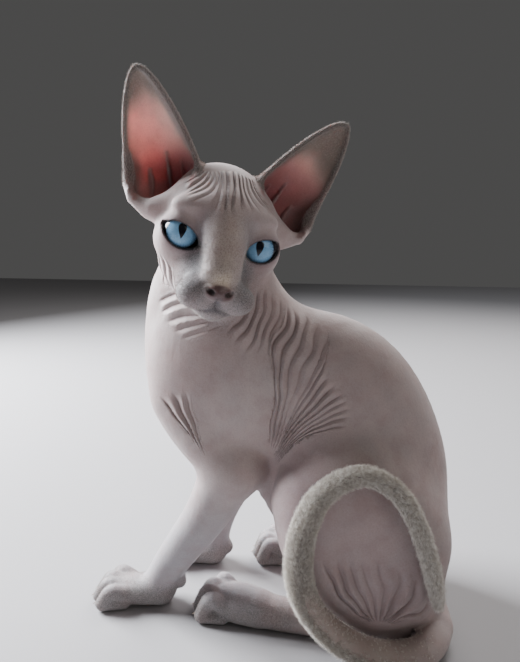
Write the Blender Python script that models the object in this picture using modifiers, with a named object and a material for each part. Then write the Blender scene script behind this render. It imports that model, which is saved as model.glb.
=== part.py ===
"""A life-size seated sphynx cat that looks round over its left shoulder, tail looped against its thigh.

The cat faces -X with its median plane near y = 0, its left side is -Y and the floor is z = 0. The flesh is
laid down as muscle masses and limbs, melted together into one body, thinned to a light mesh and then parted
with thin cuts into the pieces that a person would name. Sizes are in millimetres until a mesh is made.
"""

import math

import bmesh
import bpy
import numpy as np
from mathutils import Matrix, Vector
from mathutils.bvhtree import BVHTree

MM = 0.001
GAP = 0.3
FLOOR_CUT = 0.15

# The cage of beads is remeshed at this size before its surface is drawn onto the blended masses.
VOXEL = 1.2
TAIL_VOXEL = 1.3
TAIL_TRIANGLES = 820
REST_TRIANGLES = 2600

# The body's own x and y are shifted by this much, so that the origin is under the middle of the cat.
ORIGIN = Vector((-78.6, -9.0, FLOOR_CUT))

# The head: the point between the eyes, the way that the face looks, and how far it leans to the cat's left.
EYES_MIDDLE = Vector((-98.3, -50.1, 237.1))
FACE_BEARING = math.radians(-63.4)
FACE_DOWN = math.radians(8.0)
HEAD_LEAN = math.radians(11.2)

EYE_SPACING = 21.8
EYE_BACK = -3.5
EYEBALL = 10.4
LID = 1.9

EAR_HALF_WIDTH = 21.5
EAR_THICKNESS = 2.1
EAR_RIM = 1.5
EAR_CUT_CLEAR = 1.0
EAR_ROWS = 26

SKIN_PINK = (0.62, 0.50, 0.47, 1.0)
TAIL_FUR = (0.55, 0.49, 0.40, 1.0)
EAR_SKIN = (0.60, 0.42, 0.39, 1.0)
EYE_BLUE = (0.32, 0.58, 0.80, 1.0)


def clear_scene():
    for obj in list(bpy.data.objects):
        bpy.data.objects.remove(obj)


def head_axes():
    """The head's own axes as columns: towards the cat's left, forward out of the face, and up."""
    forward = Vector((math.cos(FACE_BEARING), math.sin(FACE_BEARING), 0.0))
    left = forward.cross(Vector((0.0, 0.0, -1.0)))
    turned = Matrix((left, forward, Vector((0.0, 0.0, 1.0)))).transposed()
    nod = Matrix.Rotation(-FACE_DOWN, 3, "X")
    lean = Matrix.Rotation(HEAD_LEAN, 3, "Y")
    return turned @ nod @ lean


HEAD = head_axes()


def on_head(point):
    """A point given in the head's own axes from between the eyes, in the body's axes."""
    return EYES_MIDDLE + HEAD @ Vector(point)


def smooth_path(stations, steps):
    """Catmull-Rom points through the stations, each a tuple of numbers."""
    rows = np.array(stations, float)
    rows = np.vstack([2 * rows[0] - rows[1], rows, 2 * rows[-1] - rows[-2]])
    found = []
    for a, b, c, d in zip(rows, rows[1:], rows[2:], rows[3:]):
        for t in np.arange(steps) / steps:
            found.append(
                0.5
                * (
                    2 * b
                    + (c - a) * t
                    + (2 * a - 5 * b + 4 * c - d) * t**2
                    + (3 * b - a - 3 * c + d) * t**3
                )
            )
    return np.array(found + [rows[-2]])


def bead(bm, centre, radii, turn, detail=2):
    """Adds an ellipsoid whose axes are the columns of a rotation."""
    place = Matrix.LocRotScale(Vector(centre) * MM, turn.to_quaternion(), None)
    scale = Matrix.Diagonal((*[r * MM for r in radii], 1.0))
    bmesh.ops.create_icosphere(bm, subdivisions=detail, radius=1.0, matrix=place @ scale)


class Limb:
    """A tapering tube of elliptical section along a smooth path.

    A station is x, y, z, the half depth, and the half width along the side axis.
    """

    def __init__(self, stations, blend, side=(0, 1, 0), steps=4):
        whole = [s if len(s) == 5 else (*s, s[3]) for s in stations]
        self.path = smooth_path(whole, steps)
        self.side = np.array(side, float) / np.linalg.norm(side)
        self.blend = blend
        low = (self.path[:, :3] - self.path[:, 3:].max(1)[:, None]).min(0)
        high = (self.path[:, :3] + self.path[:, 3:].max(1)[:, None]).max(0)
        self.box = low, high

    def distance(self, points):
        best = np.full(len(points), 1e3)
        for a, b in zip(self.path, self.path[1:]):
            reach = max(*a[3:], *b[3:]) + self.blend + 6.0
            low = np.minimum(a[:3], b[:3]) - reach
            high = np.maximum(a[:3], b[:3]) + reach
            near = np.flatnonzero(((points > low) & (points < high)).all(1))
            here = points[near] - a[:3]
            run = b[:3] - a[:3]
            share = np.clip(here @ run / max(run @ run, 1e-9), 0, 1)
            away = here - share[:, None] * run
            depth = a[3] + share * (b[3] - a[3])
            width = a[4] + share * (b[4] - a[4])
            across = (away @ self.side) ** 2
            along = np.maximum((away**2).sum(1) - across, 0)
            scaled = np.sqrt(across / width**2 + along / depth**2)
            slope = np.sqrt(across / width**4 + along / depth**4) + 1e-9
            best[near] = np.minimum(best[near], scaled * (scaled - 1) / slope)
        return best

    def cage(self, bm):
        turn = Vector((0, 1, 0)).rotation_difference(Vector(self.side)).to_matrix()
        for x, y, z, depth, width in self.path:
            bead(bm, (x, y, z), (depth, width, depth), turn)


class Mass:
    """An ellipsoid: a centre, three radii and the matrix whose columns are its axes."""

    def __init__(self, centre, radii, blend, axes=None):
        self.centre = np.array(centre, float)
        self.radii = np.array(radii, float)
        self.axes = np.array(axes if axes is not None else Matrix.Identity(3))
        self.blend = blend
        reach = max(radii)
        self.box = self.centre - reach, self.centre + reach

    def distance(self, points):
        local = (points - self.centre) @ self.axes
        scaled = np.linalg.norm(local / self.radii, axis=1)
        slope = np.linalg.norm(local / self.radii**2, axis=1) + 1e-9
        return scaled * (scaled - 1) / slope

    def cage(self, bm):
        bead(bm, self.centre, self.radii, Matrix(self.axes.tolist()))


class Group:
    """Forms melted among themselves first, then joined to the rest over one blend."""

    def __init__(self, forms, blend):
        self.forms = forms
        self.blend = blend
        self.box = (
            np.min([form.box[0] for form in forms], axis=0),
            np.max([form.box[1] for form in forms], axis=0),
        )

    def distance(self, points):
        return field(self.forms, points)

    def cage(self, bm):
        for form in self.forms:
            form.cage(bm)


class Hollow:
    """A form that is taken away from those before it."""

    def __init__(self, form):
        self.form = form
        self.blend = form.blend
        self.box = form.box

    def distance(self, points):
        return self.form.distance(points)

    def cage(self, bm):
        pass


class Sheet:
    """A curved skin of one thickness, given as rows of points through the middle of it."""

    def __init__(self, rows, thickness, blend):
        self.rows = rows
        self.half = thickness / 2
        self.blend = blend
        across = len(rows[0])
        flat = [spot for row in rows for spot in row]
        faces = []
        for j in range(len(rows) - 1):
            for i in range(across - 1):
                k = j * across + i
                faces.append((k, k + 1, k + across + 1, k + across))
        self.tree = BVHTree.FromPolygons(flat, faces)
        places = np.array(flat)
        self.box = places.min(0) - self.half, places.max(0) + self.half

    def distance(self, points):
        return np.array([self.tree.find_nearest(p)[3] for p in points.tolist()]) - self.half

    def cage(self, bm):
        sides = []
        for sign in (-1, 1):
            grid = []
            for j, row in enumerate(self.rows):
                above = self.rows[min(j + 1, len(self.rows) - 1)]
                below = self.rows[max(j - 1, 0)]
                line = []
                for i, spot in enumerate(row):
                    ahead = row[min(i + 1, len(row) - 1)] - row[max(i - 1, 0)]
                    normal = ahead.cross(above[i] - below[i]).normalized()
                    line.append(bm.verts.new((spot + normal * sign * self.half) * MM))
                grid.append(line)
            sides.append(grid)
        back, front = sides
        last, end = len(self.rows) - 1, len(self.rows[0]) - 1
        for j in range(last):
            for i in range(end):
                for grid in sides:
                    bm.faces.new((grid[j][i], grid[j][i + 1], grid[j + 1][i + 1], grid[j + 1][i]))
            for i in (0, end):
                bm.faces.new((back[j][i], front[j][i], front[j + 1][i], back[j + 1][i]))
        for i in range(end):
            for j in (0, last):
                bm.faces.new((back[j][i], front[j][i], front[j][i + 1], back[j][i + 1]))


def head_mass(centre, radii, blend, tilt=0.0):
    """A mass placed in the head's axes, tipped about the axis across the head."""
    axes = HEAD @ Matrix.Rotation(math.radians(tilt), 3, "X")
    return Mass(on_head(centre), radii, blend, axes)


def head_limb(stations, blend):
    """A limb placed in the head's axes, whose side axis runs across the head."""
    placed = [(*on_head(s[:3]), *s[3:]) for s in stations]
    return Limb(placed, blend, side=tuple(HEAD.col[0]), steps=3)


def field(forms, points):
    """The signed distance to the forms melted together, each over its own blend."""
    total = np.full(len(points), 1e3)
    for form in forms:
        margin = form.blend + 6.0
        low, high = form.box
        near = ((points > low - margin) & (points < high + margin)).all(1)
        if not near.any():
            continue
        found = form.distance(points[near])
        here = total[near]
        if isinstance(form, Hollow):
            overlap = np.maximum(form.blend - np.abs(here + found), 0) / form.blend
            total[near] = np.maximum(here, -found) + overlap**2 * form.blend / 4
            continue
        overlap = np.maximum(form.blend - np.abs(here - found), 0) / form.blend
        total[near] = np.minimum(here, found) - overlap**2 * form.blend / 4
    return total


# Trunk and neck


def trunk_forms():
    spine = [
        (-1, 0, 32, 29, 31),
        (-9, 0, 66, 40, 42),
        (-21, -1, 105, 49, 41),
        (-44, -4, 137, 54, 40),
        (-76, -9, 146, 51, 38),
        (-101, -13, 151, 46, 36),
        (-115, -17, 161, 40, 31),
    ]
    neck = [
        (-109, -14, 170, 49, 32),
        (-114, -17, 193, 45, 30),
        (-115, -20, 214, 34, 25),
        (-115, -23, 234, 26, 20),
    ]
    belly = [(-90, -12, 98, 13, 16), (-63, -9, 84, 17, 20), (-38, -5, 62, 20, 27)]
    loose = [
        Limb([(-83, -24, 98, 4.5), (-81.5, -26, 89, 4.2), (-80, -27, 82, 2.6)], 4),
        Limb([(-77, -24, 90, 5), (-75, -26.5, 79, 4.6), (-72.5, -27, 71, 2.8)], 4),
    ]
    return [Limb(spine, 10, steps=8), Limb(neck, 20), Limb(belly, 16)] + loose


# Forelegs: the near, left one is put forward and the far one stands under the chest


def foreleg_forms(shoulder, elbow, line):
    upper = [(-129, shoulder, 142, 18, 15), (-111, elbow, 118, 18), (-97, elbow, 101, 18)]
    blade = Mass((-111, shoulder, 150), (32, 17, 45), 20)
    return [blade, Limb(upper, 9), Limb(line, 7)]


def paw_forms(heel, tip, width, top, drop):
    """A paw from its heel to its toe tips; the four toes arch over their knuckles and lie on the floor."""
    heel, tip = Vector(heel), Vector(tip)
    ahead = Vector((tip.x - heel.x, tip.y - heel.y, 0.0)).normalized()
    aside = Vector((ahead.y, -ahead.x, 0.0))
    toe = width * 0.150
    knuckle = tip - ahead * 16.0
    middle = heel.lerp(knuckle, 0.5)
    palm = [
        (*heel, drop, width * 0.36),
        (middle.x, middle.y, top * 0.50, top * 0.52, width * 0.41),
        (knuckle.x, knuckle.y, top * 0.45, top * 0.47, width * 0.41),
    ]
    toes = []
    for place in (-1.5, -0.5, 0.5, 1.5):
        short = (abs(place) - 0.5) * 4.5
        root = knuckle + aside * place * width * 0.215 - ahead * (short + 2)
        bend = knuckle + aside * place * width * 0.258 + ahead * (5.5 - short)
        end = tip + aside * place * width * 0.272 - ahead * (short + toe * 1.08)
        stations = [
            (root.x, root.y, top * 0.62, toe * 1.10),
            (bend.x, bend.y, top - toe * 1.15, toe * 1.14),
            (end.x, end.y, toe * 1.12, toe * 1.08),
        ]
        pad = [
            (root.x, root.y, toe * 1.0, toe * 1.0),
            (end.x - ahead.x, end.y - ahead.y, toe * 0.96, toe * 0.98),
        ]
        toes.append(Group([Limb(stations, 1.5), Limb(pad, 1.5)], 0.9))
    return [Limb(palm, 5, side=tuple(aside)), Group(toes, 1.8)]


def forequarters():
    near = [(-98, -37, 101, 18), (-113, -38, 71, 14.5), (-127, -37, 50, 12.8)]
    near += [(-140, -35, 31, 11.6), (-148, -34, 17, 11.2)]
    far = [(-93, 14, 99, 17), (-110, 16, 71, 14), (-121, 17, 48, 11.5)]
    far += [(-127, 18, 30, 10.4), (-130, 18, 15, 10.4)]
    forms = foreleg_forms(-36, -37, near) + foreleg_forms(8, 12, far)
    forms += paw_forms((-149, -35, 9.5), (-193, -43, 0), 29, 17.5, 10.5)
    forms += paw_forms((-131, 18, 9.5), (-172, 14, 0), 28, 17.5, 10.5)
    wrist_pads = [Mass((-135, -34, 17), (4.2, 3.8, 4.8), 4), Mass((-119.5, 18, 14), (4.2, 3.8, 4.8), 4)]
    return forms + wrist_pads


# Hindquarters: folded thighs, the feet laid flat and pointing forward


def hindleg_forms(side, back):
    thigh = [
        (-4, side * 34, 64, 34, 22),
        (-26, side * 43, 84, 36, 20),
        (-47, side * 48, 91, 20, 15),
    ]
    shank = [(-50, side * 49, 86, 15.5), (-44, side * 49, 60, 17), (-14, side * 41, 26, 13)]
    seat = Mass((7, side * 22, 30), (21, 22, 31), 14)
    calf = Mass((-22, side * 40, 46), (34, 17, 36), 14)
    foot = [
        (back - 2, side * 34, 13, 12, 10),
        (back - 34, side * 37, 9, 9.5, 9.5),
        (back - 70, side * 38, 9, 10, 10.5),
        (back - 92, side * 36, 10, 10.5, 13),
    ]
    forms = [Limb(thigh, 24), Limb(shank, 14), seat, calf, Limb(foot, 6)]
    return forms + paw_forms((back - 82, side * 37, 9.5), (back - 124, side * 34.5, 0), 29, 21, 10.5)


# Tail: from the rump round the near side, up over the thigh and down to its tip


TAIL_LINE = [
    (10, 0, 22, 12.0),
    (21, -8, 13, 11.0),
    (26, -27, 10.5, 10.2),
    (20, -46, 10, 9.6),
    (3, -58, 11, 9.4),
    (-15, -63, 17, 9.2),
    (-31, -67, 27, 9.1),
    (-42.5, -72, 42, 9.0),
    (-47.5, -76, 59, 8.9),
    (-48, -77, 75, 8.6),
    (-45, -76, 91, 8.2),
    (-38.5, -71, 104.5, 7.6),
    (-27, -66.5, 113.5, 7.0),
    (-15, -63.5, 116, 6.6),
    (-3, -61.5, 111, 6.4),
    (6.3, -60.5, 101, 6.3),
    (13.4, -60, 86.5, 6.1),
    (18.7, -58.5, 70, 5.9),
    (22.7, -56, 53, 5.3),
    (24.7, -50, 39.5, 3.8),
]
TAIL_FREE = 13


def tail_limb():
    """The tail as a limb, each free length moved out until it just clears the thigh that it rests on."""
    tail = Limb(TAIL_LINE, 1.0)
    for _ in range(12):
        free = tail.path[TAIL_FREE:]
        clear = body_distance(free[:, :3]) - free[:, 3] - 1.0
        free[:, 1] += np.minimum(clear, 0.0)
    for _ in range(6):
        free[1:-1, 1] = np.minimum(free[1:-1, 1], 0.5 * (free[:-2, 1] + free[2:, 1]))
    tail.box[0][1] = (tail.path[:, 1] - tail.path[:, 3]).min()
    return tail


# Ears: a curled sheet given the thickness of a real ear


class Ear:
    """The frame of one ear; side is 1 for the cat's left, seen more from the front in this pose."""

    def __init__(self, side):
        self.side = side
        self.base = Vector((33.0, -28.0, 20.0)) if side > 0 else Vector((32.8, -28.0, 22.0))
        self.tip = Vector((66.0, -35.0, 79.5)) if side > 0 else Vector((59.6, -34.0, 80.3))
        facing = Vector((0.22, 0.95, -0.08)) if side > 0 else Vector((0.34, 0.92, -0.10))
        self.height = (self.tip - self.base).length
        self.rise = (self.tip - self.base).normalized()
        self.facing = (facing - self.rise * facing.dot(self.rise)).normalized()
        self.out = self.facing.cross(self.rise)
        if self.out.x < 0:
            self.out = -self.out

    def spot(self, v, u, inset=0.0):
        """A point of the sheet: v runs from the base to the tip, u across it from -1 to 1."""
        grown = max(v, 0.0)
        buried = min(max(-v / 0.34, 0.0), 1.0)
        half = 0.76 * (1 - grown**1.8) + 0.24 * math.sqrt(max(1 - grown**8, 0.0))
        half = max(EAR_HALF_WIDTH * half * math.sqrt(1 - 0.84 * buried**2), 0.5) - inset
        curl = math.radians(118 - 80 * grown**0.6)
        radius = half / math.sin(min(curl, math.pi / 2))
        a = curl * u
        depth = radius * (math.cos(min(curl, math.pi / 2)) - math.cos(a))
        lean = -0.10 * EAR_HALF_WIDTH * u * (1 - grown) * (1 - buried)
        spot = self.base + self.rise * (v * self.height - lean)
        spot += self.out * (radius * math.sin(a) + 10 * min(v, 0)) + self.facing * depth
        return on_head((spot.x * self.side, spot.y, spot.z))


def ear_forms(side):
    """The hollow down to the ear hole, the curled sheet that lines it, its rim and the ridge in front."""
    ear = Ear(side)
    rows = []
    for j in range(EAR_ROWS + 1):
        v = -0.34 + 1.34 * math.sin(0.5 * math.pi * j / EAR_ROWS) ** 0.85
        rows.append([ear.spot(v, 2 * i / EAR_ROWS - 1) for i in range(EAR_ROWS + 1)])
    throat = []
    for v, radius in ((-0.26, 3.5), (-0.16, 5.0), (-0.05, 8.0), (0.08, 12.5), (0.22, 15.5)):
        middle = (ear.spot(v, -0.7) + ear.spot(v, 0.7) + ear.spot(v, 0.0)) / 3
        throat.append((*middle, radius))
    ridge = [(*ear.spot(-0.07, 0.96), 1.8)]
    front = [(40, -22, 8.5, 5.5), (35.5, -20.5, 10, 6.5), (31, -19, 13, 6.5), (26.5, -18.5, 17, 6)]
    front.append((23, -18, 21.5, 5))
    ridge += [(*on_head((side * x, y, z)), r) for x, y, z, r in front]
    rim = []
    for i in range(2 * EAR_ROWS + 1):
        v = (1 - abs(i / EAR_ROWS - 1)) ** 0.9
        rim.append((*ear.spot(v, -1 if i < EAR_ROWS else 1), EAR_RIM))
    pouch = [(0.34, 1.6), (0.27, 2.6), (0.19, 3.3), (0.10, 3.4), (0.02, 2.8), (-0.06, 2.2)]
    pouch = [(*ear.spot(v, 0.97), r) for v, r in pouch]
    edges = [Limb(rim, 1), Limb(pouch, 2), Limb(ridge, 6)]
    return [Hollow(Limb(throat, 3)), Sheet(rows, EAR_THICKNESS, 4)] + edges


# Head: skull, muzzle, brow, cheeks and lids, the same on both sides


def head_forms():
    skull = [
        head_mass((0, -31, 9), (33, 37, 33), 12),
        head_mass((0, -13, -11), (28, 25, 22), 10),
        head_limb([(0, -1, 17, 9, 14), (0, 12, 2, 8.5, 12), (0, 22, -13, 7.5, 10)], 9),
        head_limb([(0, -4, -14, 16, 20), (0, 15, -25, 11, 15)], 8),
        head_mass((0, 11, -34), (10.5, 12, 8), 4),
    ]
    for side in (-1, 1):
        skull += [
            head_mass((side * 25, -13, -4), (11.5, 17, 13), 9),
            head_mass((side * 18, -3, 15), (12, 8, 6), 8),
            head_limb([(side * 21, -21, -20, 9), (side * 10, 1, -31, 8)], 8),
        ]
    for side in (-1, 1):
        skull.append(head_mass((side * 10.2, 16.3, -27.3), (11.2, 11.5, 8.8), 3.5))
    for side in (-1, 1):
        skull.append(head_mass((side * EYE_SPACING, EYE_BACK, 0), (EYEBALL + LID,) * 3, 4))
    skull.append(head_mass((0, 25.5, -23.2), (8.2, 5.4, 5.2), 2, tilt=-12))
    return [Group(skull, 7)] + ear_forms(-1) + ear_forms(1)


# Meshes


def mesh_object(name, bm):
    bmesh.ops.recalc_face_normals(bm, faces=bm.faces)
    mesh = bpy.data.meshes.new(name)
    bm.to_mesh(mesh)
    bm.free()
    obj = bpy.data.objects.new(name, mesh)
    bpy.context.collection.objects.link(obj)
    return obj


def cage_mesh(name, forms):
    """One mesh of overlapping ellipsoids and sheets, as a cage for the remesh."""
    bm = bmesh.new()
    for form in forms:
        form.cage(bm)
    return mesh_object(name, bm)


def apply_modifiers(obj):
    graph = bpy.context.evaluated_depsgraph_get()
    mesh = bpy.data.meshes.new_from_object(obj.evaluated_get(graph))
    obj.modifiers.clear()
    obj.data = mesh


def remesh(obj, voxel):
    modifier = obj.modifiers.new("Remesh", "REMESH")
    modifier.mode = "VOXEL"
    modifier.voxel_size = voxel * MM
    apply_modifiers(obj)


def get_points(obj):
    points = np.empty(len(obj.data.vertices) * 3, np.float32)
    obj.data.vertices.foreach_get("co", points)
    return points.reshape(-1, 3).astype(float) / MM


def set_points(obj, points):
    obj.data.vertices.foreach_set("co", (points * MM).astype(np.float32).ravel())
    obj.data.update()


def draw_onto(obj, distance, rounds):
    """Moves each vertex along its normal until it lies on the blended surface."""
    normals = np.empty(len(obj.data.vertices) * 3, np.float32)
    for _ in range(rounds):
        points = get_points(obj)
        obj.data.vertices.foreach_get("normal", normals)
        away = np.clip(distance(points), -3.0, 3.0)
        set_points(obj, points - away[:, None] * normals.reshape(-1, 3))


def relax(obj, turns):
    modifier = obj.modifiers.new("Relax", "SMOOTH")
    modifier.factor = 0.5
    modifier.iterations = turns
    apply_modifiers(obj)


def melt(name, forms, voxel, distance):
    """The forms as one closed skin: caged, remeshed, drawn onto the blend, and evened out."""
    obj = cage_mesh(name, forms)
    remesh(obj, voxel)
    draw_onto(obj, distance, 3)
    remesh(obj, voxel)
    draw_onto(obj, distance, 2)
    relax(obj, 2)
    return obj


# Cutting


def boolean(obj, cutter, operation="DIFFERENCE"):
    modifier = obj.modifiers.new("Cut", "BOOLEAN")
    modifier.operation = operation
    modifier.solver = "MANIFOLD"
    modifier.object = cutter
    apply_modifiers(obj)
    bpy.data.objects.remove(cutter)


def ball(centre, radii, detail=3, axes=None):
    """An ellipsoid in millimetres, its axes the columns of a matrix."""
    bm = bmesh.new()
    bead(bm, centre, radii, Matrix.Identity(3) if axes is None else axes, detail)
    return mesh_object("ball", bm)


def plate(centre, normal, towards, span, reach):
    """A thin slab through a centre, at right angles to the normal; reach is its half size towards a way."""
    normal = Vector(normal).normalized()
    along = Vector(towards)
    along = (along - normal * along.dot(normal)).normalized()
    turn = Matrix((normal, along.cross(normal), along)).transposed()
    bm = bmesh.new()
    place = Matrix.LocRotScale(Vector(centre) * MM, turn.to_quaternion(), None)
    scale = Matrix.Diagonal((GAP * MM, 2 * span * MM, 2 * reach * MM, 1.0))
    bmesh.ops.create_cube(bm, size=1.0, matrix=place @ scale)
    return mesh_object("plate", bm)


def disc(centre, normal, radius):
    bm = bmesh.new()
    turn = Vector((0, 0, 1)).rotation_difference(Vector(normal))
    place = Matrix.LocRotScale(Vector(centre) * MM, turn, None)
    size = (radius + 0.8) * MM
    bmesh.ops.create_cone(
        bm, cap_ends=True, segments=32, radius1=size, radius2=size, depth=GAP * MM, matrix=place
    )
    return mesh_object("disc", bm)


def ear_cut(side):
    """The slab between an ear and the head, just clear of the skull."""
    ear = Ear(side)
    inner, outer = ear.spot(0.16, -1), ear.spot(0.16, 1)
    facing = HEAD @ Vector((ear.facing.x * side, ear.facing.y, ear.facing.z))
    normal = (outer - inner).cross(facing).normalized()
    if normal.dot(HEAD @ Vector((ear.rise.x * side, ear.rise.y, ear.rise.z))) < 0:
        normal = -normal
    centre = (inner + outer) / 2 - facing * 5 + normal * EAR_CUT_CLEAR
    return plate(centre, normal, outer - inner, 25, 32)


def eye_opening(side):
    """An almond prism through the lids, its outer corner raised."""
    bm = bmesh.new()
    steps = 12
    tilt = math.radians(21)
    rings = []
    for y, swell in ((0.0, 0.80), (16.0, 1.10)):
        ring = []
        for i in range(2 * steps):
            t = i / steps
            along = -math.cos(math.pi * t) if t <= 1 else math.cos(math.pi * (t - 1))
            height = math.sin(math.pi * min(t, 2 - t)) ** 0.85
            rise = 5.3 * height if t <= 1 else -6.4 * height
            x = (10.2 * along + 1.0) * swell
            z = rise * swell
            spot = (
                side * (EYE_SPACING + x * math.cos(tilt) - z * math.sin(tilt)),
                EYE_BACK + y,
                x * math.sin(tilt) + z * math.cos(tilt) - 0.4,
            )
            ring.append(bm.verts.new(on_head(spot) * MM))
        rings.append(ring)
    for i in range(2 * steps):
        j = (i + 1) % (2 * steps)
        bm.faces.new((rings[0][i], rings[0][j], rings[1][j], rings[1][i]))
    bm.faces.new(rings[0])
    bm.faces.new(rings[1])
    return mesh_object("opening", bm)


def tube(path, normals, radius):
    """A closed tube along a path on the skin, that narrows towards both ends."""
    bm = bmesh.new()
    around = 8
    rings = []
    for i, (point, normal) in enumerate(zip(path, normals)):
        ahead = (path[min(i + 1, len(path) - 1)] - path[max(i - 1, 0)]).normalized()
        across = ahead.cross(normal).normalized()
        upward = across.cross(ahead)
        share = radius * math.sin(math.pi * (i + 0.5) / len(path)) ** 0.4
        ring = []
        for k in range(around):
            a = 2 * math.pi * k / around
            offset = (across * math.cos(a) + upward * math.sin(a)) * share
            ring.append(bm.verts.new((point + offset) * MM))
        rings.append(ring)
    for low, high in zip(rings, rings[1:]):
        for i in range(around):
            j = (i + 1) % around
            bm.faces.new((low[i], low[j], high[j], high[i]))
    bm.faces.new(rings[0])
    bm.faces.new(rings[-1])
    return mesh_object("tube", bm)


def carve_mouth(body):
    """The parting of the lips, let into the skin from the nose down and back along both sides."""
    inside = Vector((0.0, 6.0, -24.0))
    lines = [[(0, 30, -27.5), (0, 28, -30.5), (0, 26, -33.5)]]
    for side in (-1, 1):
        corner = [(1, 26, -33.5), (6, 25, -36), (12, 19, -37), (16.5, 12, -35)]
        lines.append([(side * x, y, z) for x, y, z in corner])
    for line in lines:
        path = []
        normals = []
        for row in smooth_path(line, 3):
            way = (HEAD @ (Vector(row) - inside)).normalized()
            found, spot, normal, _ = body.ray_cast(on_head(inside) * MM, way)
            path.append(spot / MM)
            normals.append(way)
        boolean(body, tube(path, normals, 0.8))


def thin(obj, chosen, triangles):
    """Decimates the faces among the chosen vertices to about so many triangles, and no others."""
    group = obj.vertex_groups.new(name="thin")
    group.add([int(i) for i in np.flatnonzero(chosen)], 1.0, "REPLACE")
    whole = sum(len(p.vertices) - 2 for p in obj.data.polygons)
    inside = sum(len(p.vertices) - 2 for p in obj.data.polygons if chosen[p.vertices[0]])
    modifier = obj.modifiers.new("Thin", "DECIMATE")
    modifier.ratio = (whole - inside + triangles) / whole
    modifier.vertex_group = "thin"
    modifier.vertex_group_factor = 1.0
    modifier.use_collapse_triangulate = True
    apply_modifiers(obj)
    obj.vertex_groups.clear()


def thin_regions(obj):
    """Thins the face, then each paw, then all of the rest."""
    for centre, radius, triangles in FINE:
        points = get_points(obj)
        thin(obj, np.linalg.norm(points - np.array(centre), axis=1) < radius, triangles)
    points = get_points(obj)
    rest = np.ones(len(points), bool)
    for centre, radius, _ in FINE:
        rest &= np.linalg.norm(points - np.array(centre), axis=1) > radius
    thin(obj, rest, REST_TRIANGLES)


def stand(obj):
    """Presses whatever would sink below the floor up to it."""
    points = get_points(obj)
    points[:, 2] = np.maximum(points[:, 2], 0.0)
    set_points(obj, points)


def sole_cut():
    """A slab that trims every sole to one level."""
    bm = bmesh.new()
    place = Matrix.Translation(Vector((-80, 0, FLOOR_CUT - 10)) * MM)
    bmesh.ops.create_cube(bm, size=1.0, matrix=place @ Matrix.Diagonal((0.5, 0.5, 0.02, 1.0)))
    return mesh_object("slab", bm)


def body_distance(points):
    return field(BODY, points)


BODY = trunk_forms() + hindleg_forms(-1, 0) + hindleg_forms(1, 20) + forequarters() + head_forms()

# Where the mesh stays fine: centre, radius and triangles.
FINE = [
    (tuple(on_head((52, -32, 52))), 36, 700),
    (tuple(on_head((-47, -31, 56))), 38, 700),
    (tuple(on_head((0, -8, -4))), 50, 2200),
    ((-174, -40, 8), 26, 400),
    ((-152, 16, 8), 22, 380),
    ((-106, -36, 8), 22, 380),
    ((-86, 36, 8), 22, 380),
]

# Each cut: its centre, its normal, the way that its reach is measured, its half span and its half reach.
CUTS = [
    ((-108, -28, 210), (0.08, -0.43, 0.90), (0.0, 1.0, 0.0), 56, 60),
    ((-115, -15, 176), (-0.50, 0.0, 0.866), (1.0, 0.0, 0.0), 62, 66),
    ((-107, -38, 84), (0.44, 0.0, 0.90), (0.0, 1.0, 0.0), 21, 24),
    ((-105, 16, 83), (0.40, 0.0, 0.90), (0.0, 1.0, 0.0), 21, 24),
    ((-148, -34.5, 22), (0.45, 0.08, 0.90), (0.0, 1.0, 0.0), 25, 19),
    ((-129, 18, 20), (0.12, 0.0, 1.0), (0.0, 1.0, 0.0), 17, 17),
    ((-12, -30, 62), (0.0, 1.0, 0.32), (1.0, 0.0, 0.0), 75, 62),
    ((-12, 29.5, 62), (0.0, 1.0, -0.25), (1.0, 0.0, 0.0), 75, 62),
    ((-70, -37, 10), (1.0, 0.0, 0.0), (0.0, 1.0, 0.0), 16, 17),
    ((-55, 37, 10), (1.0, 0.0, 0.0), (0.0, 1.0, 0.0), 16, 17),
]
TAIL_CUTS = (15, 25, 44, 62)

PIECES = {
    "head": (-107, -37, 238),
    "neck": (-114, -18, 190),
    "torso": (-55, -5, 130),
    "foreleg_left": (-125, -37, 55),
    "foreleg_right": (-118, 17, 55),
    "forepaw_left": (-170, -38, 8),
    "forepaw_right": (-150, 16, 8),
    "thigh_left": (-20, -50, 70),
    "thigh_right": (-20, 50, 70),
    "hindfoot_left": (-95, -37, 10),
    "hindfoot_right": (-80, 37, 10),
    "tail_floor": (-17, -62, 16),
    "tail_rise": (-44, -72, 69),
    "tail_arch": (-11, -65, 110),
    "tail_tip": (18, -54, 65),
    "ear_left": on_head((50, -36, 50)),
    "ear_right": on_head((-46, -36, 50)),
}


def separate(obj):
    bpy.ops.object.select_all(action="DESELECT")
    obj.select_set(True)
    bpy.context.view_layer.objects.active = obj
    bpy.ops.mesh.separate(type="LOOSE")
    return list(bpy.context.selected_objects)


def name_pieces(loose):
    """Keeps one loose piece for each name, and gives each name to the piece nearest to its own point."""
    loose = sorted(loose, key=lambda piece: -len(piece.data.vertices))
    for crumb in loose[len(PIECES) :]:
        bpy.data.objects.remove(crumb)
    loose = loose[: len(PIECES)]
    middles = [get_points(piece) for piece in loose]
    middles = [(points.min(0) + points.max(0)) / 2 for points in middles]
    taken = []
    for name, spot in PIECES.items():
        spare = [i for i in range(len(loose)) if i not in taken]
        nearest = min(spare, key=lambda i: np.linalg.norm(middles[i] - np.array(spot)))
        taken.append(nearest)
        loose[nearest].name = name


def material(name, colour, roughness):
    made = bpy.data.materials.new(name)
    made.use_nodes = True
    shader = made.node_tree.nodes["Principled BSDF"]
    shader.inputs["Base Color"].default_value = colour
    shader.inputs["Roughness"].default_value = roughness
    return made


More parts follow.
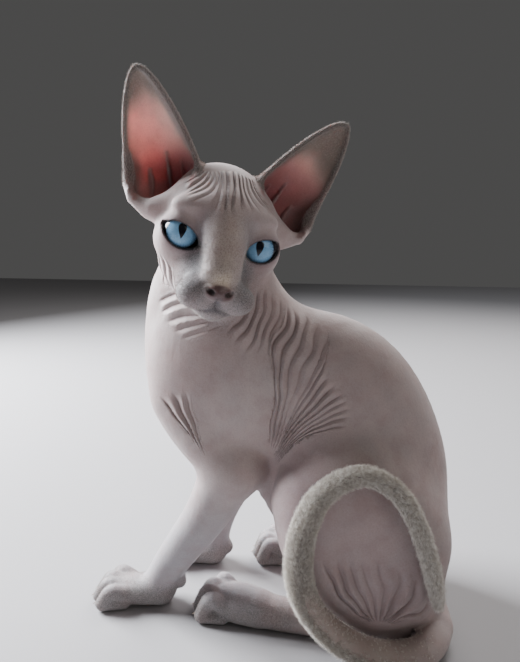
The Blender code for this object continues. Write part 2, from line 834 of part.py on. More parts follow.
def finish():
    """Moves every piece so that the origin is under the middle, and gives it its look and its collection."""
    looks = {"tail": (TAIL_FUR, 0.9), "ear": (EAR_SKIN, 0.7), "eye": (EYE_BLUE, 0.08)}
    collection = bpy.data.collections.new("sphynx_cat")
    bpy.context.scene.collection.children.link(collection)
    for obj in list(bpy.context.scene.objects):
        points = get_points(obj)
        set_points(obj, points - np.array(ORIGIN))
        colour, roughness = looks.get(obj.name.split("_")[0], (SKIN_PINK, 0.65))
        obj.data.name = obj.name
        obj.data.materials.clear()
        obj.data.materials.append(material(obj.name, colour, roughness))
        obj.data.shade_smooth()
        obj.data.set_sharp_from_angle(angle=math.radians(40))
        for old in list(obj.users_collection):
            old.objects.unlink(obj)
        collection.objects.link(obj)


def main():
    clear_scene()
    body = melt("body", BODY, VOXEL, body_distance)
    stand(body)
    thin_regions(body)
    tail_form = tail_limb()
    tail = melt("tail", [tail_form], TAIL_VOXEL, lambda points: field([tail_form], points))
    stand(tail)
    thin(tail, np.ones(len(tail.data.vertices), bool), TAIL_TRIANGLES)
    for side in (-1, 1):
        centre = on_head((side * EYE_SPACING, EYE_BACK, 0))
        boolean(body, ball(centre, (EYEBALL + GAP,) * 3, 3))
        boolean(body, eye_opening(side))
        nostril = on_head((side * 4.2, 30.0, -24.4))
        boolean(body, ball(nostril, (1.5, 2.6, 1.0), 2, HEAD))
        ball(centre, (EYEBALL,) * 3, 3).name = "eye_left" if side > 0 else "eye_right"
    carve_mouth(body)
    boolean(body, tail, "UNION")
    boolean(body, sole_cut())
    for cut in CUTS:
        boolean(body, plate(*cut))
    for i in TAIL_CUTS:
        a, b, c = tail_form.path[i - 1 : i + 2]
        boolean(body, disc(b[:3], c[:3] - a[:3], b[3]))
    for side in (-1, 1):
        boolean(body, ear_cut(side))
    name_pieces(separate(body))
    finish()


main()
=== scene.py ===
"""Looks for a life-size seated sphynx cat: folded suede-like skin, blue eyes and a short coat on the tail.

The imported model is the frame. One skin stands for all of its flesh, and the coat stands on that skin.
"""

import math

import bmesh
import bpy
import numpy as np
from mathutils import Matrix, Vector
from mathutils.bvhtree import BVHTree


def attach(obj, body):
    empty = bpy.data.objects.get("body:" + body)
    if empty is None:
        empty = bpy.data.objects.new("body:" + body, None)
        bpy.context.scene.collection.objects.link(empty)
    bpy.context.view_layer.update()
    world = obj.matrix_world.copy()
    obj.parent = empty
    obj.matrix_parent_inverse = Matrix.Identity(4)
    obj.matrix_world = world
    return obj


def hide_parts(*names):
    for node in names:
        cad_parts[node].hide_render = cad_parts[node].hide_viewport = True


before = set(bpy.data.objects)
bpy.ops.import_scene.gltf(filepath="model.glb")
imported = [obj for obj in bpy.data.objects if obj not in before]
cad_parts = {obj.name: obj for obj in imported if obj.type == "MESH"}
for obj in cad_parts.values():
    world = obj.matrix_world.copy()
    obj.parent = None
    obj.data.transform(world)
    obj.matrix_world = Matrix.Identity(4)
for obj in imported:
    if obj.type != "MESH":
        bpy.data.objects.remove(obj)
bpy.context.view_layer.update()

# Skin
# One continuous hide from the ear tips to the tail, bare and suede-like. It is laid over muscle masses and
# limbs that are melted together, so that no seam shows, and it carries every fold, lid, lip and nostril.

MM = 0.001
FLOOR_CUT = 0.15

# The body's own x and y are shifted by this much, so that the origin is under the middle of the cat.
ORIGIN = Vector((-78.6, -9.0, FLOOR_CUT))

# The head: the point between the eyes, the way that the face looks, and how far it leans to the cat's left.
EYES_MIDDLE = Vector((-98.3, -50.1, 237.1))
FACE_BEARING = math.radians(-63.4)
FACE_DOWN = math.radians(8.0)
HEAD_LEAN = math.radians(11.2)

EYE_SPACING = 21.8
EYE_BACK = -3.5
EYEBALL = 10.4
LID = 1.9

EAR_HALF_WIDTH = 21.5
EAR_THICKNESS = 2.1
EAR_RIM = 1.5
EAR_ROWS = 26


def head_axes():
    """The head's own axes as columns: towards the cat's left, forward out of the face, and up."""
    forward = Vector((math.cos(FACE_BEARING), math.sin(FACE_BEARING), 0.0))
    left = forward.cross(Vector((0.0, 0.0, -1.0)))
    turned = Matrix((left, forward, Vector((0.0, 0.0, 1.0)))).transposed()
    nod = Matrix.Rotation(-FACE_DOWN, 3, "X")
    lean = Matrix.Rotation(HEAD_LEAN, 3, "Y")
    return turned @ nod @ lean


HEAD = head_axes()


def on_head(point):
    """A point given in the head's own axes from between the eyes, in the body's axes."""
    return EYES_MIDDLE + HEAD @ Vector(point)


def smooth_path(stations, steps):
    """Catmull-Rom points through the stations, each a tuple of numbers."""
    rows = np.array(stations, float)
    rows = np.vstack([2 * rows[0] - rows[1], rows, 2 * rows[-1] - rows[-2]])
    found = []
    for a, b, c, d in zip(rows, rows[1:], rows[2:], rows[3:]):
        for t in np.arange(steps) / steps:
            found.append(
                0.5
                * (
                    2 * b
                    + (c - a) * t
                    + (2 * a - 5 * b + 4 * c - d) * t**2
                    + (3 * b - a - 3 * c + d) * t**3
                )
            )
    return np.array(found + [rows[-2]])


def bead(bm, centre, radii, turn, detail=2):
    """Adds an ellipsoid whose axes are the columns of a rotation."""
    place = Matrix.LocRotScale(Vector(centre) * MM, turn.to_quaternion(), None)
    scale = Matrix.Diagonal((*[r * MM for r in radii], 1.0))
    bmesh.ops.create_icosphere(bm, subdivisions=detail, radius=1.0, matrix=place @ scale)


class Limb:
    """A tapering tube of elliptical section along a smooth path.

    A station is x, y, z, the half depth, and the half width along the side axis.
    """

    def __init__(self, stations, blend, side=(0, 1, 0), steps=4):
        whole = [s if len(s) == 5 else (*s, s[3]) for s in stations]
        self.path = smooth_path(whole, steps)
        self.side = np.array(side, float) / np.linalg.norm(side)
        self.blend = blend
        low = (self.path[:, :3] - self.path[:, 3:].max(1)[:, None]).min(0)
        high = (self.path[:, :3] + self.path[:, 3:].max(1)[:, None]).max(0)
        self.box = low, high

    def distance(self, points):
        best = np.full(len(points), 1e3)
        for a, b in zip(self.path, self.path[1:]):
            reach = max(*a[3:], *b[3:]) + self.blend + 6.0
            low = np.minimum(a[:3], b[:3]) - reach
            high = np.maximum(a[:3], b[:3]) + reach
            near = np.flatnonzero(((points > low) & (points < high)).all(1))
            here = points[near] - a[:3]
            run = b[:3] - a[:3]
            share = np.clip(here @ run / max(run @ run, 1e-9), 0, 1)
            away = here - share[:, None] * run
            depth = a[3] + share * (b[3] - a[3])
            width = a[4] + share * (b[4] - a[4])
            across = (away @ self.side) ** 2
            along = np.maximum((away**2).sum(1) - across, 0)
            scaled = np.sqrt(across / width**2 + along / depth**2)
            slope = np.sqrt(across / width**4 + along / depth**4) + 1e-9
            best[near] = np.minimum(best[near], scaled * (scaled - 1) / slope)
        return best

    def cage(self, bm):
        turn = Vector((0, 1, 0)).rotation_difference(Vector(self.side)).to_matrix()
        for x, y, z, depth, width in self.path:
            bead(bm, (x, y, z), (depth, width, depth), turn)


class Mass:
    """An ellipsoid: a centre, three radii and the matrix whose columns are its axes."""

    def __init__(self, centre, radii, blend, axes=None):
        self.centre = np.array(centre, float)
        self.radii = np.array(radii, float)
        self.axes = np.array(axes if axes is not None else Matrix.Identity(3))
        self.blend = blend
        reach = max(radii)
        self.box = self.centre - reach, self.centre + reach

    def distance(self, points):
        local = (points - self.centre) @ self.axes
        scaled = np.linalg.norm(local / self.radii, axis=1)
        slope = np.linalg.norm(local / self.radii**2, axis=1) + 1e-9
        return scaled * (scaled - 1) / slope

    def cage(self, bm):
        bead(bm, self.centre, self.radii, Matrix(self.axes.tolist()))


class Group:
    """Forms melted among themselves first, then joined to the rest over one blend."""

    def __init__(self, forms, blend):
        self.forms = forms
        self.blend = blend
        self.box = (
            np.min([form.box[0] for form in forms], axis=0),
            np.max([form.box[1] for form in forms], axis=0),
        )

    def distance(self, points):
        return field(self.forms, points)

    def cage(self, bm):
        for form in self.forms:
            form.cage(bm)


class Hollow:
    """A form that is taken away from those before it."""

    def __init__(self, form):
        self.form = form
        self.blend = form.blend
        self.box = form.box

    def distance(self, points):
        return self.form.distance(points)

    def cage(self, bm):
        pass


class Sheet:
    """A curved skin of one thickness, given as rows of points through the middle of it."""

    def __init__(self, rows, thickness, blend):
        self.rows = rows
        self.half = thickness / 2
        self.blend = blend
        across = len(rows[0])
        flat = [spot for row in rows for spot in row]
        faces = []
        for j in range(len(rows) - 1):
            for i in range(across - 1):
                k = j * across + i
                faces.append((k, k + 1, k + across + 1, k + across))
        self.tree = BVHTree.FromPolygons(flat, faces)
        places = np.array(flat)
        self.box = places.min(0) - self.half, places.max(0) + self.half

    def distance(self, points):
        return np.array([self.tree.find_nearest(p)[3] for p in points.tolist()]) - self.half

    def cage(self, bm):
        sides = []
        for sign in (-1, 1):
            grid = []
            for j, row in enumerate(self.rows):
                above = self.rows[min(j + 1, len(self.rows) - 1)]
                below = self.rows[max(j - 1, 0)]
                line = []
                for i, spot in enumerate(row):
                    ahead = row[min(i + 1, len(row) - 1)] - row[max(i - 1, 0)]
                    normal = ahead.cross(above[i] - below[i]).normalized()
                    line.append(bm.verts.new((spot + normal * sign * self.half) * MM))
                grid.append(line)
            sides.append(grid)
        back, front = sides
        last, end = len(self.rows) - 1, len(self.rows[0]) - 1
        for j in range(last):
            for i in range(end):
                for grid in sides:
                    bm.faces.new((grid[j][i], grid[j][i + 1], grid[j + 1][i + 1], grid[j + 1][i]))
            for i in (0, end):
                bm.faces.new((back[j][i], front[j][i], front[j + 1][i], back[j + 1][i]))
        for i in range(end):
            for j in (0, last):
                bm.faces.new((back[j][i], front[j][i], front[j][i + 1], back[j][i + 1]))


def head_mass(centre, radii, blend, tilt=0.0):
    """A mass placed in the head's axes, tipped about the axis across the head."""
    axes = HEAD @ Matrix.Rotation(math.radians(tilt), 3, "X")
    return Mass(on_head(centre), radii, blend, axes)


def head_limb(stations, blend):
    """A limb placed in the head's axes, whose side axis runs across the head."""
    placed = [(*on_head(s[:3]), *s[3:]) for s in stations]
    return Limb(placed, blend, side=tuple(HEAD.col[0]), steps=3)


def field(forms, points):
    """The signed distance to the forms melted together, each over its own blend."""
    total = np.full(len(points), 1e3)
    for form in forms:
        margin = form.blend + 6.0
        low, high = form.box
        near = ((points > low - margin) & (points < high + margin)).all(1)
        if not near.any():
            continue
        found = form.distance(points[near])
        here = total[near]
        if isinstance(form, Hollow):
            overlap = np.maximum(form.blend - np.abs(here + found), 0) / form.blend
            total[near] = np.maximum(here, -found) + overlap**2 * form.blend / 4
            continue
        overlap = np.maximum(form.blend - np.abs(here - found), 0) / form.blend
        total[near] = np.minimum(here, found) - overlap**2 * form.blend / 4
    return total


# Trunk and neck


def trunk_forms():
    spine = [
        (-1, 0, 32, 29, 31),
        (-9, 0, 66, 40, 42),
        (-21, -1, 105, 49, 41),
        (-44, -4, 137, 54, 40),
        (-76, -9, 146, 51, 38),
        (-101, -13, 151, 46, 36),
        (-115, -17, 161, 40, 31),
    ]
    neck = [
        (-109, -14, 170, 49, 32),
        (-114, -17, 193, 45, 30),
        (-115, -20, 214, 34, 25),
        (-115, -23, 234, 26, 20),
    ]
    belly = [(-90, -12, 98, 13, 16), (-63, -9, 84, 17, 20), (-38, -5, 62, 20, 27)]
    loose = [
        Limb([(-83, -24, 98, 4.5), (-81.5, -26, 89, 4.2), (-80, -27, 82, 2.6)], 4),
        Limb([(-77, -24, 90, 5), (-75, -26.5, 79, 4.6), (-72.5, -27, 71, 2.8)], 4),
    ]
    return [Limb(spine, 10, steps=8), Limb(neck, 20), Limb(belly, 16)] + loose


# Forelegs: the near, left one is put forward and the far one stands under the chest


def foreleg_forms(shoulder, elbow, line):
    upper = [(-129, shoulder, 142, 18, 15), (-111, elbow, 118, 18), (-97, elbow, 101, 18)]
    blade = Mass((-111, shoulder, 150), (32, 17, 45), 20)
    return [blade, Limb(upper, 9), Limb(line, 7)]


def paw_forms(heel, tip, width, top, drop):
    """A paw from its heel to its toe tips; the four toes arch over their knuckles and lie on the floor."""
    heel, tip = Vector(heel), Vector(tip)
    ahead = Vector((tip.x - heel.x, tip.y - heel.y, 0.0)).normalized()
    aside = Vector((ahead.y, -ahead.x, 0.0))
    toe = width * 0.150
    knuckle = tip - ahead * 16.0
    middle = heel.lerp(knuckle, 0.5)
    palm = [
        (*heel, drop, width * 0.36),
        (middle.x, middle.y, top * 0.50, top * 0.52, width * 0.41),
        (knuckle.x, knuckle.y, top * 0.45, top * 0.47, width * 0.41),
    ]
    toes = []
    for place in (-1.5, -0.5, 0.5, 1.5):
        short = (abs(place) - 0.5) * 4.5
        root = knuckle + aside * place * width * 0.215 - ahead * (short + 2)
        bend = knuckle + aside * place * width * 0.258 + ahead * (5.5 - short)
        end = tip + aside * place * width * 0.272 - ahead * (short + toe * 1.08)
        stations = [
            (root.x, root.y, top * 0.62, toe * 1.10),
            (bend.x, bend.y, top - toe * 1.15, toe * 1.14),
            (end.x, end.y, toe * 1.12, toe * 1.08),
        ]
        pad = [
            (root.x, root.y, toe * 1.0, toe * 1.0),
            (end.x - ahead.x, end.y - ahead.y, toe * 0.96, toe * 0.98),
        ]
        toes.append(Group([Limb(stations, 1.5), Limb(pad, 1.5)], 0.9))
    return [Limb(palm, 5, side=tuple(aside)), Group(toes, 1.8)]


def forequarters():
    near = [(-98, -37, 101, 18), (-113, -38, 71, 14.5), (-127, -37, 50, 12.8)]
    near += [(-140, -35, 31, 11.6), (-148, -34, 17, 11.2)]
    far = [(-93, 14, 99, 17), (-110, 16, 71, 14), (-121, 17, 48, 11.5)]
    far += [(-127, 18, 30, 10.4), (-130, 18, 15, 10.4)]
    forms = foreleg_forms(-36, -37, near) + foreleg_forms(8, 12, far)
    forms += paw_forms((-149, -35, 9.5), (-193, -43, 0), 29, 17.5, 10.5)
    forms += paw_forms((-131, 18, 9.5), (-172, 14, 0), 28, 17.5, 10.5)
    wrist_pads = [Mass((-135, -34, 17), (4.2, 3.8, 4.8), 4), Mass((-119.5, 18, 14), (4.2, 3.8, 4.8), 4)]
    return forms + wrist_pads


# Hindquarters: folded thighs, the feet laid flat and pointing forward


def hindleg_forms(side, back):
    thigh = [
        (-4, side * 34, 64, 34, 22),
        (-26, side * 43, 84, 36, 20),
        (-47, side * 48, 91, 20, 15),
    ]
    shank = [(-50, side * 49, 86, 15.5), (-44, side * 49, 60, 17), (-14, side * 41, 26, 13)]
    seat = Mass((7, side * 22, 30), (21, 22, 31), 14)
    calf = Mass((-22, side * 40, 46), (34, 17, 36), 14)
    foot = [
        (back - 2, side * 34, 13, 12, 10),
        (back - 34, side * 37, 9, 9.5, 9.5),
        (back - 70, side * 38, 9, 10, 10.5),
        (back - 92, side * 36, 10, 10.5, 13),
    ]
    forms = [Limb(thigh, 24), Limb(shank, 14), seat, calf, Limb(foot, 6)]
    return forms + paw_forms((back - 82, side * 37, 9.5), (back - 124, side * 34.5, 0), 29, 21, 10.5)


# Tail: from the rump round the near side, up over the thigh and down to its tip


TAIL_LINE = [
    (10, 0, 22, 12.0),
    (21, -8, 13, 11.0),
    (26, -27, 10.5, 10.2),
    (20, -46, 10, 9.6),
    (3, -58, 11, 9.4),
    (-15, -63, 17, 9.2),
    (-31, -67, 27, 9.1),
    (-42.5, -72, 42, 9.0),
    (-47.5, -76, 59, 8.9),
    (-48, -77, 75, 8.6),
    (-45, -76, 91, 8.2),
    (-38.5, -71, 104.5, 7.6),
    (-27, -66.5, 113.5, 7.0),
    (-15, -63.5, 116, 6.6),
    (-3, -61.5, 111, 6.4),
    (6.3, -60.5, 101, 6.3),
    (13.4, -60, 86.5, 6.1),
    (18.7, -58.5, 70, 5.9),
    (22.7, -56, 53, 5.3),
    (24.7, -50, 39.5, 3.8),
]
TAIL_FREE = 13


def tail_limb():
    """The tail as a limb, each free length moved out until it just clears the thigh that it rests on."""
    tail = Limb(TAIL_LINE, 1.0)
    for _ in range(12):
        free = tail.path[TAIL_FREE:]
        clear = body_distance(free[:, :3]) - free[:, 3] - 1.0
        free[:, 1] += np.minimum(clear, 0.0)
    for _ in range(6):
        free[1:-1, 1] = np.minimum(free[1:-1, 1], 0.5 * (free[:-2, 1] + free[2:, 1]))
    tail.box[0][1] = (tail.path[:, 1] - tail.path[:, 3]).min()
    return tail


# Ears: a curled sheet given the thickness of a real ear


class Ear:
    """The frame of one ear; side is 1 for the cat's left, seen more from the front in this pose."""

    def __init__(self, side):
        self.side = side
        self.base = Vector((33.0, -28.0, 20.0)) if side > 0 else Vector((32.8, -28.0, 22.0))
        self.tip = Vector((66.0, -35.0, 79.5)) if side > 0 else Vector((59.6, -34.0, 80.3))
        facing = Vector((0.22, 0.95, -0.08)) if side > 0 else Vector((0.34, 0.92, -0.10))
        self.height = (self.tip - self.base).length
        self.rise = (self.tip - self.base).normalized()
        self.facing = (facing - self.rise * facing.dot(self.rise)).normalized()
        self.out = self.facing.cross(self.rise)
        if self.out.x < 0:
            self.out = -self.out

    def spot(self, v, u, inset=0.0):
        """A point of the sheet: v runs from the base to the tip, u across it from -1 to 1."""
        grown = max(v, 0.0)
        buried = min(max(-v / 0.34, 0.0), 1.0)
        half = 0.76 * (1 - grown**1.8) + 0.24 * math.sqrt(max(1 - grown**8, 0.0))
        half = max(EAR_HALF_WIDTH * half * math.sqrt(1 - 0.84 * buried**2), 0.5) - inset
        curl = math.radians(118 - 80 * grown**0.6)
        radius = half / math.sin(min(curl, math.pi / 2))
        a = curl * u
        depth = radius * (math.cos(min(curl, math.pi / 2)) - math.cos(a))
        lean = -0.10 * EAR_HALF_WIDTH * u * (1 - grown) * (1 - buried)
        spot = self.base + self.rise * (v * self.height - lean)
        spot += self.out * (radius * math.sin(a) + 10 * min(v, 0)) + self.facing * depth
        return on_head((spot.x * self.side, spot.y, spot.z))


def ear_forms(side):
    """The hollow down to the ear hole, the curled sheet that lines it, its rim and the ridge in front."""
    ear = Ear(side)
    rows = []
    for j in range(EAR_ROWS + 1):
        v = -0.34 + 1.34 * math.sin(0.5 * math.pi * j / EAR_ROWS) ** 0.85
        rows.append([ear.spot(v, 2 * i / EAR_ROWS - 1) for i in range(EAR_ROWS + 1)])
    throat = []
    for v, radius in ((-0.26, 3.5), (-0.16, 5.0), (-0.05, 8.0), (0.08, 12.5), (0.22, 15.5)):
        middle = (ear.spot(v, -0.7) + ear.spot(v, 0.7) + ear.spot(v, 0.0)) / 3
        throat.append((*middle, radius))
    ridge = [(*ear.spot(-0.07, 0.96), 1.8)]
    front = [(40, -22, 8.5, 5.5), (35.5, -20.5, 10, 6.5), (31, -19, 13, 6.5), (26.5, -18.5, 17, 6)]
    front.append((23, -18, 21.5, 5))
    ridge += [(*on_head((side * x, y, z)), r) for x, y, z, r in front]
    rim = []
    for i in range(2 * EAR_ROWS + 1):
        v = (1 - abs(i / EAR_ROWS - 1)) ** 0.9
        rim.append((*ear.spot(v, -1 if i < EAR_ROWS else 1), EAR_RIM))
    pouch = [(0.34, 1.6), (0.27, 2.6), (0.19, 3.3), (0.10, 3.4), (0.02, 2.8), (-0.06, 2.2)]
    pouch = [(*ear.spot(v, 0.97), r) for v, r in pouch]
    edges = [Limb(rim, 1), Limb(pouch, 2), Limb(ridge, 6)]
    return [Hollow(Limb(throat, 3)), Sheet(rows, EAR_THICKNESS, 4)] + edges


# Head: skull, muzzle, brow, cheeks and lids, the same on both sides


def head_forms():
    skull = [
        head_mass((0, -31, 9), (33, 37, 33), 12),
        head_mass((0, -13, -11), (28, 25, 22), 10),
        head_limb([(0, -1, 17, 9, 14), (0, 12, 2, 8.5, 12), (0, 22, -13, 7.5, 10)], 9),
        head_limb([(0, -4, -14, 16, 20), (0, 15, -25, 11, 15)], 8),
        head_mass((0, 11, -34), (10.5, 12, 8), 4),
    ]
    for side in (-1, 1):
        skull += [
            head_mass((side * 25, -13, -4), (11.5, 17, 13), 9),
            head_mass((side * 18, -3, 15), (12, 8, 6), 8),
            head_limb([(side * 21, -21, -20, 9), (side * 10, 1, -31, 8)], 8),
        ]
    for side in (-1, 1):
        skull.append(head_mass((side * 10.2, 16.3, -27.3), (11.2, 11.5, 8.8), 3.5))
    for side in (-1, 1):
        skull.append(head_mass((side * EYE_SPACING, EYE_BACK, 0), (EYEBALL + LID,) * 3, 4))
    skull.append(head_mass((0, 25.5, -23.2), (8.2, 5.4, 5.2), 2, tilt=-12))
    return [Group(skull, 7)] + ear_forms(-1) + ear_forms(1)


def mesh_object(name, bm):
    bmesh.ops.recalc_face_normals(bm, faces=bm.faces)
    mesh = bpy.data.meshes.new(name)
    bm.to_mesh(mesh)
    bm.free()
    obj = bpy.data.objects.new(name, mesh)
    bpy.context.collection.objects.link(obj)
    return obj


def cage_mesh(name, forms):
    """One mesh of overlapping ellipsoids and sheets, as a cage for the remesh."""
    bm = bmesh.new()
    for form in forms:
        form.cage(bm)
    return mesh_object(name, bm)


def apply_modifiers(obj):
    graph = bpy.context.evaluated_depsgraph_get()
    mesh = bpy.data.meshes.new_from_object(obj.evaluated_get(graph))
    obj.modifiers.clear()
    obj.data = mesh


def remesh(obj, voxel):
    modifier = obj.modifiers.new("Remesh", "REMESH")
    modifier.mode = "VOXEL"
    modifier.voxel_size = voxel * MM
    apply_modifiers(obj)


def get_points(obj):
    points = np.empty(len(obj.data.vertices) * 3, np.float32)
    obj.data.vertices.foreach_get("co", points)
    return points.reshape(-1, 3).astype(float) / MM


def set_points(obj, points):
    obj.data.vertices.foreach_set("co", (points * MM).astype(np.float32).ravel())
    obj.data.update()


def draw_onto(obj, distance, rounds):
    """Moves each vertex along its normal until it lies on the blended surface."""
    normals = np.empty(len(obj.data.vertices) * 3, np.float32)
    for _ in range(rounds):
        points = get_points(obj)
        obj.data.vertices.foreach_get("normal", normals)
        away = np.clip(distance(points), -3.0, 3.0)
        set_points(obj, points - away[:, None] * normals.reshape(-1, 3))


def relax(obj, turns):
    modifier = obj.modifiers.new("Relax", "SMOOTH")
    modifier.factor = 0.5
    modifier.iterations = turns
    apply_modifiers(obj)


def melt(name, forms, voxel, distance):
    """The forms as one closed skin: caged, remeshed, drawn onto the blend, and evened out."""
    obj = cage_mesh(name, forms)
    remesh(obj, voxel)
    draw_onto(obj, distance, 3)
    remesh(obj, voxel)
    draw_onto(obj, distance, 2)
    relax(obj, 2)
    return obj


def body_distance(points):
    return field(BODY, points)


BODY = trunk_forms() + hindleg_forms(-1, 0) + hindleg_forms(1, 20) + forequarters() + head_forms()


# The coat's depth on the tail, which the skin leaves free, and the thin down on the rest.
TAIL_COAT = 2.0
DOWN = 0.25
SKIN_VOXEL = 1.3
SKIN_TRIANGLES = 192000


class Almond:
    """The opening between the lids, taken out down to just under the eyeball."""

    def __init__(self, side):
        self.side = side
        self.blend = 0.9
        self.centre = np.array(on_head((side * EYE_SPACING, EYE_BACK, 0)))
        self.box = self.centre - 17, self.centre + 17

    def outline(self, points):
        """Distance from the lid edge, seen from the front; below nought between the lids."""
        local = (points - np.array(EYES_MIDDLE)) @ np.array(HEAD)
        x = self.side * local[:, 0] - EYE_SPACING
        z = local[:, 2] + 0.4
        tilt = math.radians(21)
        along = (x * math.cos(tilt) + z * math.sin(tilt) - 1.1) / 10.6
        rise = -x * math.sin(tilt) + z * math.cos(tilt)
        tall = np.where(rise > 0, 5.5, 6.5)
        full = np.abs(along) ** 2 + np.abs(rise / tall) ** 1.35 - 1
        slope = np.hypot(2 * along / 10.6, 1.35 * np.abs(rise / tall) ** 0.35 / tall) + 1e-3
        return np.where(local[:, 1] > EYE_BACK - 3, full / slope, 9.0)

    def distance(self, points):
        depth = EYEBALL - 0.6 - np.linalg.norm(points - self.centre, axis=1)
        return np.maximum(self.outline(points), depth)


def skin_spot(point, inside=(0.0, 6.0, -24.0)):
    """The spot on the bare head that is seen through a point from inside the muzzle."""
    start = np.array(on_head(inside))
    way = np.array(on_head(point)) - start
    way /= np.linalg.norm(way)
    steps = start + way * np.arange(0, 40, 0.1)[:, None]
    outside = field(HEAD_FORMS, steps) > 0
    return steps[np.argmax(outside)]


def mouth_lines():
    """The split under the nose and the parting of the lips on both sides."""
    lines = [[(0, 30, -27.0), (0, 28, -30), (0, 26, -33.8)]]
    for side in (-1, 1):
        corner = [(0.5, 26, -33.6), (6, 25, -36.2), (12, 19, -37), (17, 11.5, -35)]
        lines.append([(side * x, y, z) for x, y, z in corner])
    return [np.array([skin_spot(row) for row in smooth_path(line, 4)]) for line in lines]


def mouth_forms():
    forms = []
    for path in MOUTH:
        share = np.sin(np.pi * (np.arange(len(path)) + 0.6) / len(path)) ** 0.4
        stations = [(*spot, 1.0 * r) for spot, r in zip(path, share)]
        forms.append(Hollow(Limb(stations, 0.9, steps=1)))
    return forms


def nostril_forms():
    forms = []
    for side in (-1, 1):
        hole = [(side * 3.6, 31.2, -23.2), (side * 4.6, 29.2, -22.9), (side * 6.2, 27.0, -22.0)]
        placed = [(*on_head(p), r) for p, r in zip(hole, (1.35, 1.2, 0.75))]
        forms.append(Hollow(Limb(placed, 0.7, steps=2)))
    return forms


def ear_ridges(side):
    """The ridges of gristle at the ear hole and the small pocket on the outer edge."""
    ear = Ear(side)
    lines = [
        ([(-0.12, -0.45), (0.02, -0.38), (0.14, -0.40)], 1.7),
        ([(-0.14, -0.12), (0.06, -0.14), (0.20, -0.22)], 1.3),
        ([(-0.12, 0.14), (0.08, 0.10), (0.30, 0.02)], 1.5),
        ([(-0.06, 0.42), (0.06, 0.40), (0.17, 0.44)], 1.7),
        ([(0.02, 0.74), (0.12, 0.84), (0.24, 0.90), (0.33, 0.94)], 1.9),
    ]
    forms = []
    facing = HEAD @ Vector((ear.facing.x * side, ear.facing.y, ear.facing.z))
    for line, radius in lines:
        stations = []
        for i, (v, u) in enumerate(line):
            narrow = 0.6 if i in (0, len(line) - 1) else 1.0
            spot = ear.spot(v, u, 1.0) + facing * 1.2
            stations.append((*spot, radius * narrow))
        forms.append(Limb(stations, 1.6, steps=3))
    return forms


HEAD_FORMS = head_forms()
MOUTH = mouth_lines()
tail = tail_limb()
reach = np.arange(len(tail.path)) / 4.0
tail.path[:, 3:] -= (0.5 + (TAIL_COAT - 0.5) * np.clip((reach - 3.0) / 4.0, 0, 1))[:, None]
tail_root = Limb(TAIL_LINE[:3], 6)
ALMONDS = [Almond(-1), Almond(1)]
FLESH = BODY + ear_ridges(-1) + ear_ridges(1) + [tail_root, tail]
FLESH += [Hollow(almond) for almond in ALMONDS]
FLESH += mouth_forms() + nostril_forms()


def flesh_distance(points):
    return field(FLESH, points) + DOWN


def refine(obj, centres, radius):
    """Splits each face near these centres into four."""
    bm = bmesh.new()
    bm.from_mesh(obj.data)
    edges = []
    for edge in bm.edges:
        middle = (edge.verts[0].co + edge.verts[1].co) / 2
        if any((middle - centre * MM).length < radius * MM for centre in centres):
            edges.append(edge)
    bmesh.ops.subdivide_edges(bm, edges=edges, cuts=1, use_grid_fill=True)
    bmesh.ops.triangulate(bm, faces=[f for f in bm.faces if len(f.verts) > 4])
    bm.to_mesh(obj.data)
    bm.free()


class Patch:
    """A net of rows laid over the skin, which gives any point near it a place along and across."""

    def __init__(self, rows, marks):
        self.rows = np.array([[tuple(spot) for spot in row] for row in rows])
        self.marks = np.array(marks, float)
        count, across, _ = self.rows.shape
        self.across = across - 1
        faces = []
        for j in range(count - 1):
            for i in range(across - 1):
                k = j * across + i
                faces.append((k, k + 1, k + across + 1, k + across))
        self.tree = BVHTree.FromPolygons(self.rows.reshape(-1, 3).tolist(), faces)

    def find(self, points, reach):
        """Which points are near, their row mark, their share along the row, and how far off they are."""
        low = self.rows.min((0, 1)) - reach
        high = self.rows.max((0, 1)) + reach
        near = np.flatnonzero(((points > low) & (points < high)).all(1))
        spots = np.zeros((len(near), 3))
        faces = np.zeros(len(near), int)
        away = np.full(len(near), 1e3)
        for n, point in enumerate(points[near].tolist()):
            spot, _, face, off = self.tree.find_nearest(point, reach)
            if spot is not None:
                spots[n], faces[n], away[n] = spot, face, off
        held = away < reach
        near, spots, faces, away = near[held], spots[held], faces[held], away[held]
        j, i = faces // self.across, faces % self.across
        corner = self.rows[j, i]
        e1 = self.rows[j, i + 1] - corner
        e2 = self.rows[j + 1, i] - corner
        rest = spots - corner
        a11, a12, a22 = (e1 * e1).sum(1), (e1 * e2).sum(1), (e2 * e2).sum(1)
        b1, b2 = (e1 * rest).sum(1), (e2 * rest).sum(1)
        whole = np.maximum(a11 * a22 - a12**2, 1e-9)
        a = np.clip((b1 * a22 - b2 * a12) / whole, 0, 1)
        b = np.clip((b2 * a11 - b1 * a12) / whole, 0, 1)
        mark = self.marks[j] + b * (self.marks[j + 1] - self.marks[j])
        return near, mark, (i + a) / self.across, away


